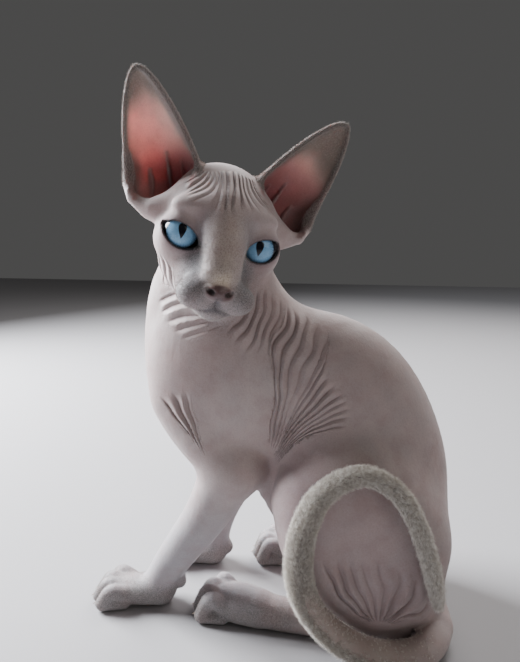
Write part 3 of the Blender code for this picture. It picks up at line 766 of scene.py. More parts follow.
def fold_patch(guides):
    """A net through guide lines, each given with the number of the fold that runs along it."""
    lines = []
    for _, line in guides:
        path = smooth_path(line, 8)
        run = np.r_[0, np.cumsum(np.linalg.norm(np.diff(path, axis=0), axis=1))]
        even = np.linspace(0, run[-1], 25)
        lines.append(np.stack([np.interp(even, run, path[:, k]) for k in range(3)], 1))
    marks = [mark for mark, _ in guides]
    first = lines[0] + (lines[0] - lines[1]) * 0.5 / (marks[1] - marks[0])
    last = lines[-1] + (lines[-1] - lines[-2]) * 0.5 / (marks[-1] - marks[-2])
    lines = [first] + lines + [last]
    marks = [marks[0] - 0.5] + marks + [marks[-1] + 0.5]
    fine = np.arange(marks[0], marks[-1] + 0.01, 0.25)
    stack = np.array(lines).reshape(len(lines), -1)
    rows = np.stack([np.interp(fine, marks, stack[:, k]) for k in range(stack.shape[1])], 1)
    return Patch(rows.reshape(len(fine), 25, 3), fine)


def ease(x):
    x = np.clip(x, 0, 1)
    return x * x * (3 - 2 * x)


def sway(points, size):
    """A smooth wandering number between -1 and 1, over places about so many millimetres across."""
    p = points / size
    a = np.sin(1.7 * p[:, 0] + 2.3 * p[:, 1] + 0.6 * np.sin(2.1 * p[:, 2] + 1.3))
    b = np.sin(2.9 * p[:, 2] - 1.9 * p[:, 0] + 0.8 * np.sin(1.7 * p[:, 1] + 0.4))
    c = np.sin(3.7 * p[:, 1] + 1.1 * p[:, 2] + 2.0 * np.sin(1.3 * p[:, 0]))
    return (a + b + c) / 3


# Each family of folds: how deep it is, how far its lines fade at their start and end, and its guide lines.
FOLDS = {
    "brow": (0.36, 0.10, 0.25, [
        (0, [(-109.8, -44.7, 276.1), (-112.3, -48.7, 273.0), (-116.0, -50.4, 270.9), (-119.3, -51.4, 269.1)]),
        (2, [(-106.0, -45.4, 275.4), (-105.3, -50.7, 270.5), (-109.4, -55.1, 265.8), (-116.0, -59.7, 262.3)]),
        (4, [(-102.0, -43.4, 276.2), (-99.6, -51.1, 269.0), (-101.4, -58.9, 262.2), (-112.7, -65.1, 256.6)]),
        (5, [(-100.5, -42.7, 276.2), (-96.8, -53.7, 266.0), (-96.5, -61.1, 256.8), (-96.7, -64.8, 249.8)]),
        (6, [(-98.0, -41.0, 276.3), (-94.4, -52.5, 266.1), (-93.0, -59.8, 256.8), (-92.0, -63.8, 249.3)]),
        (7, [(-95.1, -38.3, 276.4), (-91.1, -49.8, 266.3), (-89.6, -57.9, 256.9), (-88.9, -62.1, 249.4)]),
        (8, [(-92.8, -37.5, 275.5), (-88.7, -46.8, 266.5), (-85.5, -53.7, 258.0), (-84.0, -55.9, 251.3)]),
        (10, [(-89.6, -35.2, 274.2), (-86.0, -42.4, 266.9), (-81.1, -46.7, 258.4), (-76.1, -46.1, 251.7)]),
        (12, [(-86.1, -31.9, 272.3), (-82.9, -36.7, 266.5), (-79.0, -35.1, 260.2), (-75.3, -30.4, 255.4)]),
    ]),
    "cheek": (0.45, 0.3, 0.3, [
        (0, [(-134.7, -57.9, 234.3), (-136.5, -50.0, 225.0), (-137.9, -40.6, 214.8), (-134.8, -42.4, 210.1)]),
        (1, [(-129.8, -61.6, 231.6), (-130.9, -54.6, 223.2), (-131.0, -50.0, 215.0), (-131.0, -44.5, 208.4)]),
        (2, [(-126.3, -60.0, 226.2), (-125.6, -57.7, 219.8), (-124.5, -56.0, 213.5), (-122.5, -54.0, 207.0)]),
    ]),
    "nape": (0.95, 0.15, 0.35, [
        (0, [(-84.0, -39.4, 209.9), (-85.0, -43.0, 200.0), (-90.1, -47.1, 192.4), (-96.8, -51.9, 184.8)]),
        (2, [(-78.0, -30.8, 211.1), (-78.0, -36.3, 199.5), (-80.3, -44.3, 186.6), (-86.3, -52.1, 171.7)]),
        (4, [(-70.8, -25.3, 205.0), (-69.6, -32.9, 194.7), (-72.9, -41.1, 184.1), (-73.1, -45.9, 173.5)]),
    ]),
    "shoulder": (1.25, 0.16, 0.16, [
        (0, [(-66.6, -22.6, 201.3), (-65.4, -33.1, 190.2), (-71.0, -43.0, 178.2), (-69.1, -46.2, 165.7),
             (-68.3, -47.7, 149.9), (-71.4, -46.5, 131.5), (-72.7, -41.4, 116.2)]),
        (1, [(-62.3, -21.0, 198.2), (-60.5, -32.9, 186.8), (-65.7, -41.7, 175.3), (-65.8, -45.4, 163.4),
             (-65.8, -47.0, 148.7), (-69.1, -45.5, 130.2), (-72.3, -40.9, 115.1)]),
        (2, [(-56.2, -19.4, 195.2), (-55.2, -32.2, 184.6), (-60.3, -41.1, 172.0), (-61.4, -45.2, 156.7),
             (-63.9, -46.2, 140.4), (-68.5, -43.8, 123.6), (-71.9, -40.4, 113.9)]),
        (3, [(-49.4, -20.5, 192.0), (-48.9, -33.3, 180.4), (-54.2, -41.5, 166.7), (-58.4, -45.3, 152.3),
             (-62.8, -45.7, 136.8), (-67.7, -43.1, 121.0), (-71.5, -40.1, 113.1)]),
        (4, [(-41.9, -22.9, 188.5), (-43.7, -36.6, 173.2), (-48.8, -42.2, 161.4), (-55.0, -45.1, 149.0),
             (-60.6, -45.2, 134.4), (-66.5, -43.0, 119.9), (-71.1, -39.9, 112.5)]),
        (6, [(-38.5, -39.9, 163.2), (-47.8, -44.2, 150.4), (-58.9, -45.1, 134.0), (-71.8, -39.0, 111.5)]),
        (8, [(-29.9, -40.5, 154.2), (-42.1, -44.0, 145.0), (-55.4, -44.9, 132.4), (-71.3, -38.5, 109.6)]),
        (10, [(-24.1, -40.8, 145.5), (-38.6, -44.0, 139.5), (-53.0, -45.0, 129.7), (-70.8, -38.1, 108.0)]),
        (12, [(-26.3, -43.2, 135.7), (-40.0, -45.2, 132.8), (-54.1, -45.3, 125.6), (-70.0, -37.9, 106.0)]),
    ]),
    "throat": (0.9, 0.25, 0.25, [
        (0, [(-142.4, -39.9, 201.6), (-134.2, -43.4, 205.1), (-125.0, -48.0, 208.0)]),
        (1, [(-139.7, -43.2, 196.0), (-130.5, -46.2, 200.2), (-118.0, -52.0, 203.0)]),
        (2, [(-133.6, -48.5, 189.8), (-122.6, -50.4, 194.5), (-110.0, -53.0, 197.0)]),
        (3, [(-128.5, -51.7, 185.2), (-115.7, -52.6, 189.9), (-101.0, -53.0, 193.5)]),
        (4, [(-121.3, -54.1, 181.3), (-109.3, -53.6, 186.3), (-96.2, -50.2, 191.4)]),
    ]),
    "chest": (1.3, 0.22, 0.2, [
        (0, [(-136.7, -52.7, 147.4), (-128.4, -54.7, 138.9), (-119.5, -55.6, 129.0), (-112.8, -55.7, 120.0)]),
        (1, [(-127.8, -55.3, 151.1), (-122.2, -55.9, 141.0), (-116.2, -55.9, 129.4), (-110.4, -55.6, 116.5)]),
        (2, [(-119.7, -56.7, 153.3), (-115.8, -56.3, 140.4), (-112.0, -55.8, 126.2), (-107.4, -55.5, 111.9)]),
    ]),
    "knee": (2.0, 0.07, 0.30, [
        (0, [(-9.8, -57.4, 27.9), (-19.3, -60.2, 33.7), (-28.1, -62.9, 43.8), (-33.0, -64.7, 56.9),
             (-37.8, -66.0, 68.0)]),
        (1, [(-9.4, -57.4, 28.2), (-17.3, -60.4, 37.3), (-24.6, -62.7, 48.1), (-27.8, -63.4, 60.0),
             (-29.3, -63.7, 69.4)]),
        (2, [(-8.7, -57.3, 28.6), (-13.4, -59.8, 39.1), (-18.5, -61.4, 49.8), (-21.9, -62.2, 60.2),
             (-22.7, -62.4, 69.7)]),
        (3, [(-7.8, -57.1, 28.7), (-9.4, -58.9, 40.7), (-12.3, -60.2, 51.6), (-15.9, -61.2, 61.2),
             (-16.8, -61.8, 70.2)]),
        (4, [(-6.4, -56.6, 28.6), (-4.8, -57.9, 40.8), (-4.8, -58.7, 51.2), (-7.0, -60.0, 61.3),
             (-9.6, -61.0, 71.0)]),
        (5, [(-4.7, -56.1, 28.2), (0.3, -56.2, 39.2), (3.2, -56.8, 49.1), (3.9, -57.4, 57.8),
             (2.3, -58.1, 65.3)]),
        (6, [(-2.4, -55.1, 27.5), (5.4, -53.7, 35.3), (11.1, -52.6, 42.5), (13.4, -53.1, 50.7),
             (14.4, -53.4, 57.0)]),
        (7, [(-0.3, -53.9, 25.9), (8.3, -50.8, 29.6), (17.1, -44.8, 30.4), (19.6, -44.3, 35.2),
             (20.0, -46.0, 41.1)]),
    ]),
}
MIRRORED = ("shoulder", "knee", "chest")


def read_folds(points):
    """The fold number, its strength from nought to one, and the lift of the skin at each point."""
    phase = np.zeros(len(points))
    strength = np.zeros(len(points))
    lift = np.zeros(len(points))
    for name, (depth, start, end, guides) in FOLDS.items():
        for side in (1, -1) if name in MIRRORED else (1,):
            placed = [(mark, [(x, side * y, z) for x, y, z in line]) for mark, line in guides]
            near, mark, along, away = fold_patch(placed).find(points, 7.0)
            mark = mark + 0.16 * sway(points[near], 9.0)
            low, high = guides[0][0], guides[-1][0]
            hold = ease(along / start) * ease((1 - along) / end) * ease((7 - away) / 4)
            hold = hold * ease((mark - low + 0.5) / 0.45) * ease((high + 0.5 - mark) / 0.45)
            nearest = np.round(mark)
            uneven = 0.72 + 0.28 * np.sin(7.3 * nearest + 1.1) + 0.2 * sway(points[near] + 40, 16.0)
            hold = hold * np.clip(uneven, 0.3, 1.1)
            ridge = np.sin(np.pi * np.abs(mark - nearest)) ** 0.85
            lift[near] += depth * hold * (ridge - 0.8)
            newer = hold > strength[near]
            phase[near[newer]] = mark[newer]
            strength[near[newer]] = hold[newer]
    return phase, strength, lift


def press(obj, lift):
    """Moves each point out along its normal."""
    normals = np.empty(len(obj.data.vertices) * 3, np.float32)
    obj.data.vertices.foreach_get("normal", normals)
    set_points(obj, get_points(obj) + normals.reshape(-1, 3) * lift[:, None])


def lighten(obj, triangles):
    whole = sum(len(p.vertices) - 2 for p in obj.data.polygons)
    modifier = obj.modifiers.new("Lighten", "DECIMATE")
    modifier.ratio = min(triangles / whole, 1.0)
    modifier.use_collapse_triangulate = True
    apply_modifiers(obj)


def attribute(obj, name, values, kind="FLOAT"):
    layer = obj.data.attributes.new(name, kind, "POINT")
    field_name = {"FLOAT": "value", "FLOAT_VECTOR": "vector", "FLOAT_COLOR": "color"}[kind]
    layer.data.foreach_set(field_name, np.asarray(values, np.float32).ravel())


def keep_largest(obj):
    """Drops every loose crumb, so that the skin is one closed piece."""
    bm = bmesh.new()
    bm.from_mesh(obj.data)
    left = set(bm.verts)
    islands = []
    while left:
        island = [left.pop()]
        for vert in island:
            for edge in vert.link_edges:
                other = edge.other_vert(vert)
                if other in left:
                    left.remove(other)
                    island.append(other)
        islands.append(island)
    islands.sort(key=len)
    bmesh.ops.delete(bm, geom=[vert for island in islands[:-1] for vert in island], context="VERTS")
    bm.to_mesh(obj.data)
    bm.free()


skin = melt("skin", FLESH, SKIN_VOXEL, flesh_distance)
keep_largest(skin)
refine(skin, [on_head((0, 6, -4)), on_head((0, -6, 26))], 33)
draw_onto(skin, flesh_distance, 3)
press(skin, read_folds(get_points(skin))[2])
lighten(skin, SKIN_TRIANGLES)
points = get_points(skin)
points[:, 2] = np.maximum(points[:, 2], FLOOR_CUT)
set_points(skin, points)
phase, strength, _ = read_folds(get_points(skin))
attribute(skin, "fold_number", phase)
attribute(skin, "fold_hold", strength)


def near_spot(points, centre, radii):
    """A soft weight round a spot of the head, given in the head's own axes."""
    local = (points - np.array(EYES_MIDDLE)) @ np.array(HEAD)
    return np.exp(-((((local - np.array(centre)) / np.array(radii)) ** 2).sum(1)))


def near_line(points, path, radius):
    """A soft weight round a path in the body's axes."""
    line = Limb([(*spot, 0.01) for spot in path], 0, steps=1)
    best = np.full(len(points), 1e3)
    for a, b in zip(line.path, line.path[1:]):
        run = b[:3] - a[:3]
        here = points - a[:3]
        share = np.clip(here @ run / max(run @ run, 1e-9), 0, 1)
        best = np.minimum(best, np.linalg.norm(here - share[:, None] * run, axis=1))
    return np.exp(-((best / radius) ** 2))


def tint(tone, colour, weight):
    weight = np.clip(weight, 0, 1)[:, None]
    return tone * (1 - weight) + np.array(colour) * weight


# The colours of the bare skin, in linear light.
PALE = (0.47, 0.385, 0.37)
SHADE_PINK = (0.38, 0.26, 0.245)
SMOKE = (0.135, 0.135, 0.15)
SUEDE_GREY = (0.25, 0.235, 0.24)
STRAW = (0.56, 0.45, 0.31)
MAUVE = (0.215, 0.155, 0.165)
LILAC = (0.36, 0.25, 0.265)
LINER = (0.022, 0.017, 0.020)
NOSE_BROWN = (0.12, 0.066, 0.064)
NOSTRIL_SHADE = (0.02, 0.012, 0.012)
LIP_DARK = (0.055, 0.036, 0.036)
PEACH = (0.78, 0.60, 0.52)
SALMON = (0.56, 0.31, 0.30)
CANAL_RED = (0.30, 0.07, 0.09)
EAR_GREY = (0.17, 0.14, 0.13)
EAR_TOP = (0.25, 0.21, 0.175)
EAR_BAND = (0.36, 0.32, 0.30)
EAR_BACK = (0.28, 0.205, 0.19)
PAW_GREY = (0.20, 0.18, 0.175)
TAIL_SKIN = (0.32, 0.26, 0.22)
FORELEG = (0.33, 0.325, 0.35)


def paint_skin(points, normals):
    """The tone of the skin at each point, laid on from the large areas to the small marks."""
    tone = np.tile(PALE, (len(points), 1))
    broad = 0.5 + 0.5 * sway(points, 34.0)
    tone = tint(tone, SHADE_PINK, 0.55 * broad)
    fine = 0.5 + 0.5 * sway(points + 11, 8.0)
    tone = tint(tone, SUEDE_GREY, 0.22 * fine)

    legs = ease((112 - points[:, 2]) / 60) * ease((-62 - points[:, 0]) / 25)
    tone = tint(tone, FORELEG, 0.75 * legs)
    feet = ease((24 - points[:, 2]) / 14) * ease((-40 - points[:, 0]) / 20)
    tone = tint(tone, PAW_GREY, 0.85 * feet)
    haunch = np.exp(-(((points - np.array((-4, 0, 45))) / np.array((34, 200, 38))) ** 2).sum(1))
    tone = tint(tone, MAUVE, 0.42 * haunch * (np.abs(points[:, 1]) > 25))
    knee = np.exp(-(((points - np.array((-52, 0, 95))) / np.array((18, 200, 30))) ** 2).sum(1))
    tone = tint(tone, LILAC, 0.6 * knee * (np.abs(points[:, 1]) > 30))

    for side in (-1, 1):
        tone = tint(tone, SMOKE, 0.92 * near_spot(points, (side * 14, 18, -25), (13, 16, 12)))
        tone = tint(tone, SMOKE, 0.85 * near_spot(points, (side * 13, 12, -12), (8.5, 12, 11)))
        tone = tint(tone, SMOKE, 0.85 * near_spot(points, (side * 11, 8, 0), (5.5, 10, 10)))
        tone = tint(tone, SMOKE, 0.65 * near_spot(points, (side * 9, 3, 12), (6, 10, 6)))
        tone = tint(tone, MAUVE, 0.35 * near_spot(points, (side * 27, -4, -3), (9, 12, 9)))
    bridge = [on_head(p) for p in ((0, 2, 14), (0, 11, 5), (0, 18, -5), (0, 25, -16))]
    ragged = 1 + 0.35 * sway(points + 5, 3.2)
    tone = tint(tone, STRAW, 0.95 * ragged * near_line(points, bridge, 5.8))
    tone = tint(tone, SUEDE_GREY, 0.5 * near_spot(points, (0, 16, -42), (13, 14, 7)))

    leather = near_spot(points, (0, 30.5, -23.5), (8.4, 6.0, 5.0))
    tone = tint(tone, NOSE_BROWN, ease((leather - 0.30) / 0.18))
    # Painted shade: the nostril openings are painted almost black, for the shade that falls inside them.
    for side in (-1, 1):
        hole = near_spot(points, (side * 4.6, 29.6, -23.0), (2.3, 4.0, 1.7))
        tone = tint(tone, NOSTRIL_SHADE, ease((hole - 0.25) / 0.4))
    for i, path in enumerate(MOUTH):
        tone = tint(tone, LIP_DARK, 0.95 * near_line(points, path, 1.5))
        tone = tint(tone, SMOKE, 0.4 * near_line(points, path, 3.2))
    for almond in ALMONDS:
        front = np.linalg.norm(points - almond.centre, axis=1) < 19
        rim = np.full(len(points), 9.0)
        rim[front] = almond.outline(points[front])
        tone = tint(tone, MAUVE, 0.70 * ease((4.2 - rim) / 3.2))
        tone = tint(tone, LINER, ease((1.15 - rim) / 0.6))

    thin = np.zeros(len(points))
    for side in (-1, 1):
        ear = Ear(side)
        marks = np.linspace(-0.34, 1.0, 28)
        rows = [[ear.spot(v, 2 * i / 24 - 1) for i in range(25)] for v in marks]
        near, v, along, away = Patch(rows, marks).find(points, 5.0)
        u = 2 * along - 1
        facing = np.array(HEAD @ Vector((ear.facing.x * side, ear.facing.y, ear.facing.z)))
        outward = np.array(HEAD @ Vector((ear.out.x * side, ear.out.y, ear.out.z)))
        curl = np.radians(95 - 60 * np.clip(v, 0, 1) ** 0.6) * u
        way = facing * np.cos(curl)[:, None] - outward * np.sin(curl)[:, None]
        inside = (normals[near] * way).sum(1) > 0.0
        here = tone[near]
        grown = ease(v / 0.12)
        here = tint(here, EAR_BACK, 0.85 * grown)
        seen = side > 0
        warm = tint(np.tile(SALMON, (len(near), 1)), PEACH, ease((v - (0.34 if seen else 0.14)) / 0.28))
        warm = tint(warm, CANAL_RED, 1.1 * np.exp(-(((u + 0.2) / 0.5) ** 2) - ((v - 0.02) / 0.24) ** 2))
        warm = tint(warm, LILAC, 0.75 * ease((u - 0.25) / 0.4) * ease((0.34 - v) / 0.2) * seen)
        warm = tint(warm, EAR_TOP, 0.92 * ease((v + 0.12 * np.abs(u) - (0.50 if seen else 0.68)) / 0.24))
        band = ease((-0.46 - u) / 0.25) * ease(v / 0.10)
        lobe = ease((u - 0.55) / 0.2) * ease((0.40 - v) / 0.2)
        warm = tint(warm, EAR_TOP if seen else EAR_BAND, 0.92 * band)
        warm = tint(warm, EAR_GREY, 0.75 * lobe)
        warm = tint(warm, EAR_GREY, 0.35 * ease((np.abs(u) - 0.72) / 0.2))
        mottle = 0.5 + 0.5 * sway(points[near] + 70 * side, 7.0)
        warm = tint(warm, (0.42, 0.12, 0.09), 0.30 * mottle * ease((0.6 - v) / 0.3))
        # Painted shade: the inside of the cat's left ear, on the side away from the window light, is painted
        # about a quarter darker than the right ear's.
        here[inside] = warm[inside] * (0.76 if seen else 1.0)
        edge = np.maximum(ease((np.abs(u) - 0.90) / 0.08), ease((v - 0.955) / 0.03)) * ease(v / 0.1)
        here = tint(here, (0.085, 0.07, 0.066), 0.6 * edge)
        fade = ease((4.5 - away) / 2.0)[:, None]
        tone[near] = tone[near] * (1 - fade) + here * fade
        thin[near] = np.maximum(thin[near], grown * fade[:, 0])

    off, k = tail_share(points)
    furred = ease((k - 2.2) / 2.5) * ease((2.5 - off) / 2.0)
    tone = tint(tone, TAIL_SKIN, 0.8 * furred)
    return np.clip(tone, 0, 1), thin


def tail_share(points):
    """How far each point is from the skin of the tail, and the station beside it."""
    off = np.full(len(points), 99.0)
    station = np.zeros(len(points))
    low = tail.path[:, :3].min(0) - 16
    high = tail.path[:, :3].max(0) + 16
    near = np.flatnonzero(((points > low) & (points < high)).all(1))
    for i, (a, b) in enumerate(zip(tail.path, tail.path[1:])):
        run = b[:3] - a[:3]
        here = points[near] - a[:3]
        share = np.clip(here @ run / max(run @ run, 1e-9), 0, 1)
        away = np.linalg.norm(here - share[:, None] * run, axis=1) - (a[3] + share * (b[3] - a[3]))
        closer = away < off[near]
        off[near[closer]] = away[closer]
        station[near[closer]] = (i + share[closer]) / 4.0
    return off, station


def get_normals(obj):
    normals = np.empty(len(obj.data.vertices) * 3, np.float32)
    obj.data.vertices.foreach_get("normal", normals)
    return normals.reshape(-1, 3).astype(float)


def down_share(points):
    """How thickly the fine down stands: on the muzzle and the bridge of the nose, and over the paws."""
    face = np.zeros(len(points))
    for side in (-1, 1):
        face = np.maximum(face, near_spot(points, (side * 14, 18, -25), (15, 18, 14)))
        face = np.maximum(face, 0.9 * near_spot(points, (side * 12, 11, -8), (9, 13, 13)))
    bridge = [on_head(p) for p in ((0, 2, 14), (0, 11, 5), (0, 18, -5), (0, 25, -14))]
    face = np.maximum(face, near_line(points, bridge, 8.5))
    face = np.maximum(face, near_spot(points, (0, 14, -40), (14, 14, 9)))
    leather = near_spot(points, (0, 30.5, -23.5), (8.4, 6.0, 5.0))
    face *= 1 - ease((leather - 0.22) / 0.12)
    for almond in ALMONDS:
        face *= ease((np.linalg.norm(points - almond.centre, axis=1) - 12.5) / 3)
    paws = ease((24 - points[:, 2]) / 12) * ease((points[:, 2] - 1.5) / 3) * ease((-50 - points[:, 0]) / 16)
    return face, paws


body_points = get_points(skin)
face_down, paw_down = down_share(body_points)
attribute(skin, "fuzz", np.clip(face_down + 0.7 * paw_down, 0, 1))
tone, thin = paint_skin(body_points, get_normals(skin))
attribute(skin, "thin", thin)
attribute(skin, "skin_tone", np.c_[tone, np.ones(len(tone))], "FLOAT_COLOR")
leather = near_spot(body_points, (0, 30.5, -23.5), (8.4, 6.0, 5.0))
attribute(skin, "damp", np.clip(ease((leather - 0.30) / 0.18), 0, 1))
set_points(skin, body_points - np.array(ORIGIN))


class Nodes:
    """Short words for laying out a material's nodes."""

    def __init__(self, name):
        self.material = bpy.data.materials.new(name)
        self.material.use_nodes = True
        self.tree = self.material.node_tree
        self.shader = self.tree.nodes["Principled BSDF"]

    def add(self, kind, settings=(), **inputs):
        node = self.tree.nodes.new(kind)
        for key, value in dict(settings).items():
            setattr(node, key, value)
        for key, value in inputs.items():
            self.join(value, node.inputs[int(key[1:]) if key[1:].isdigit() else key.replace("_", " ")])
        return node

    def join(self, value, socket):
        if isinstance(value, bpy.types.NodeSocket):
            self.tree.links.new(value, socket)
        elif isinstance(value, bpy.types.Node):
            self.tree.links.new(value.outputs[0], socket)
        else:
            socket.default_value = value

    def read(self, name):
        node = self.add("ShaderNodeAttribute", {"attribute_name": name})
        return node

    def maths(self, operation, a, b=0.0, c=0.0):
        return self.add("ShaderNodeMath", {"operation": operation}, _0=a, _1=b, _2=c).outputs[0]

    def spread(self, value, low, high, to_low=0.0, to_high=1.0):
        return self.add("ShaderNodeMapRange", {"interpolation_type": "SMOOTHSTEP"},
                        _0=value, _1=low, _2=high, _3=to_low, _4=to_high).outputs[0]

    def noise(self, scale, detail=3.0, rough=0.55, squash=None):
        place = self.add("ShaderNodeTexCoord").outputs["Object"]
        if squash:
            place = self.add("ShaderNodeMapping", _0=place, _3=squash).outputs[0]
        return self.add("ShaderNodeTexNoise", Vector=place, Scale=scale, Detail=detail, Roughness=rough)

    def mix(self, share, a, b, blend="MIX"):
        node = self.add("ShaderNodeMix", {"data_type": "RGBA", "blend_type": blend}, _0=share, _6=a, _7=b)
        return node.outputs[2]


# The skin's finish: its painted tone, with painted shade that makes it darker and pinker in the fold valleys,
# speckled with down, with the fold lines cut fine.
hide = Nodes("bare_skin")
hold = hide.read("fold_hold").outputs["Fac"]
wave = hide.maths("PINGPONG", hide.read("fold_number").outputs["Fac"], 0.5)
valley = hide.maths("MULTIPLY", hide.spread(wave, 0.0, 0.17, 1.0, 0.0), hold)
flank = hide.maths("MULTIPLY", hide.spread(wave, 0.0, 0.5, 0.0, 1.0), hold)
tone_read = hide.read("skin_tone").outputs["Color"]
fuzz = hide.read("fuzz").outputs["Fac"]
speck = hide.noise(1150.0, 3.0, 0.7)
light_share = hide.maths("MULTIPLY_ADD", fuzz, 0.30, 0.07)
light_speck = hide.maths("MULTIPLY", hide.spread(speck.outputs[0], 0.50, 0.68), light_share)
dark_share = hide.maths("MULTIPLY_ADD", fuzz, 0.45, 0.10)
dark_speck = hide.maths("MULTIPLY", hide.spread(speck.outputs[0], 0.36, 0.50, 1.0, 0.0), dark_share)
speckled = hide.mix(light_speck, tone_read, (0.62, 0.58, 0.55, 1.0))
speckled = hide.mix(dark_speck, speckled, (0.06, 0.055, 0.06, 1.0))
patchy = hide.noise(70.0, 4.0, 0.6)
mottled = hide.mix(hide.spread(patchy.outputs[0], 0.40, 0.70, 0.0, 0.22), speckled, (0.24, 0.13, 0.12, 1.0))
# Painted shade: the tone is darkened towards a deep reddish brown down in the fold valleys, where shade falls in
# the creases.
fold_shaded = hide.mix(hide.maths("MULTIPLY", valley, 0.50), mottled, (0.13, 0.065, 0.06, 1.0))
hide.join(fold_shaded, hide.shader.inputs["Base Color"])
grain = hide.noise(900.0, 4.0, 0.65)
fine_lines = hide.noise(260.0, 5.0, 0.6, (1.0, 1.0, 0.35))
height = hide.maths("MULTIPLY_ADD", flank, 2.4, hide.maths("MULTIPLY", valley, -0.9))
height = hide.maths("MULTIPLY_ADD", fine_lines.outputs[0], 0.55, height)
height = hide.maths("MULTIPLY_ADD", grain.outputs[0], 0.22, height)
height = hide.maths("MULTIPLY_ADD", hide.maths("MULTIPLY", speck.outputs[0], fuzz), 0.9, height)
bump = hide.add("ShaderNodeBump", Strength=0.75, Distance=0.0006, Height=height)
hide.join(bump, hide.shader.inputs["Normal"])
damp = hide.read("damp").outputs["Fac"]
rough = hide.spread(patchy.outputs[0], 0.3, 0.7, 0.62, 0.74)
hide.join(hide.maths("MULTIPLY_ADD", damp, -0.34, rough), hide.shader.inputs["Roughness"])
hide.shader.inputs["Sheen Weight"].default_value = 0.16
hide.shader.inputs["Sheen Roughness"].default_value = 0.45
hide.shader.inputs["Sheen Tint"].default_value = (0.95, 0.93, 0.95, 1.0)
hide.join(hide.maths("MULTIPLY_ADD", hide.read("thin").outputs["Fac"], 0.35, 0.12),
          hide.shader.inputs["Subsurface Weight"])
hide.shader.inputs["Subsurface Radius"].default_value = (0.006, 0.0025, 0.0018)
hide.shader.inputs["Subsurface Scale"].default_value = 0.5
skin.data.materials.append(hide.material)
skin.data.shade_smooth()
FLESH_NODES = [
    "head", "neck", "torso", "foreleg_left", "foreleg_right", "forepaw_left", "forepaw_right",
    "thigh_left", "thigh_right", "hindfoot_left", "hindfoot_right", "tail_floor", "tail_rise",
    "tail_arch", "tail_tip", "ear_left", "ear_right",
]
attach(skin, "root")
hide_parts(*FLESH_NODES)


# Eyes
# Each eye is one glossy ball behind the lids, with an ice-blue iris that nearly fills the opening, a dark
# ring round it and a narrow drop-shaped pupil.

GAZE = {-1: (-0.080, 0.986, 0.148), 1: (-0.147, 0.989, 0.019)}


def eye_ball(side):
    """A fine ball turned so that its pole is the middle of the pupil; it keeps its own unturned coordinates as an
    attribute, from which the iris reads its angle and radius.
    """
    centre = on_head((side * EYE_SPACING, EYE_BACK, 0))
    way = (HEAD @ Vector(GAZE[side])).normalized()
    bm = bmesh.new()
    bmesh.ops.create_uvsphere(bm, u_segments=64, v_segments=40, radius=EYEBALL * MM)
    upright = (HEAD @ Vector((0, 0, 1)))
    upright = (upright - way * upright.dot(way)).normalized()
    across = upright.cross(way)
    turn = Matrix((across, upright, way)).transposed()
    place = (centre - ORIGIN) * MM
    polar = []
    for vert in bm.verts:
        polar.append((vert.co.x / MM, vert.co.y / MM, vert.co.z / MM))
        vert.co = place + turn @ vert.co
    obj = mesh_object("eyeball_left" if side > 0 else "eyeball_right", bm)
    attribute(obj, "eye_place", polar, "FLOAT_VECTOR")
    obj.data.shade_smooth()
    return obj


eye = Nodes("eye_glass")
spot = eye.read("eye_place").outputs["Vector"]
parts = eye.add("ShaderNodeSeparateXYZ", _0=spot)
x, y, z = parts.outputs[0], parts.outputs[1], parts.outputs[2]
radius = eye.maths("SQRT", eye.maths("MULTIPLY_ADD", x, x, eye.maths("MULTIPLY", y, y)))
angle = eye.maths("ARCTAN2", y, x)
turned = eye.maths("MULTIPLY", angle, 6.0)
streak_place = eye.add("ShaderNodeCombineXYZ", _0=turned, _1=eye.maths("MULTIPLY", radius, 0.22), _2=0.0)
streaks = eye.add("ShaderNodeTexNoise", Vector=streak_place, Scale=3.2, Detail=4.0, Roughness=0.6)
iris = eye.add("ShaderNodeValToRGB")
eye.join(eye.maths("DIVIDE", radius, 8.6), iris.inputs[0])
ramp = iris.color_ramp
stops = [(0.0, (0.10, 0.27, 0.48, 1)), (0.30, (0.16, 0.37, 0.60, 1)), (0.62, (0.21, 0.44, 0.68, 1)),
         (0.82, (0.12, 0.30, 0.52, 1)), (0.94, (0.04, 0.10, 0.19, 1)), (1.0, (0.010, 0.012, 0.018, 1))]
while len(ramp.elements) < len(stops):
    ramp.elements.new(0.5)
for element, (where, colour) in zip(ramp.elements, stops):
    element.position, element.color = where, colour
streak_share = eye.spread(streaks.outputs[0], 0.35, 0.68, 0.0, 0.50)
iris_streaked = eye.mix(streak_share, iris.outputs[0], (0.44, 0.66, 0.86, 1.0))
limbus = eye.spread(radius, 7.7, 8.7)
iris_ringed = eye.mix(limbus, iris_streaked, (0.010, 0.012, 0.018, 1.0))
drop = eye.maths("MAXIMUM", eye.maths("MULTIPLY_ADD", y, 0.30, 1.75), 0.2)
reach_up = eye.maths("DIVIDE", eye.maths("ADD", y, -0.7), 4.3)
slit = eye.maths("ADD", eye.maths("POWER", eye.maths("ABSOLUTE", eye.maths("DIVIDE", x, drop)), 2.0),
                 eye.maths("POWER", eye.maths("ABSOLUTE", reach_up), 2.0))
pupil = eye.spread(slit, 0.80, 1.12, 1.0, 0.0)
front = eye.spread(z, 0.0, 1.0)
eye_tone = eye.mix(eye.maths("MULTIPLY", pupil, front), iris_ringed, (0.006, 0.007, 0.012, 1.0))
eye.join(eye_tone, eye.shader.inputs["Base Color"])
eye.shader.inputs["Roughness"].default_value = 0.45
eye.shader.inputs["Specular IOR Level"].default_value = 0.0
eye.shader.inputs["Coat Weight"].default_value = 0.8
eye.shader.inputs["Coat Roughness"].default_value = 0.02
eye.shader.inputs["Coat IOR"].default_value = 1.5
eye_bump = eye.add("ShaderNodeBump", Strength=0.25, Distance=0.0003, Height=streaks.outputs[0])
eye.join(eye_bump, eye.shader.inputs["Normal"])
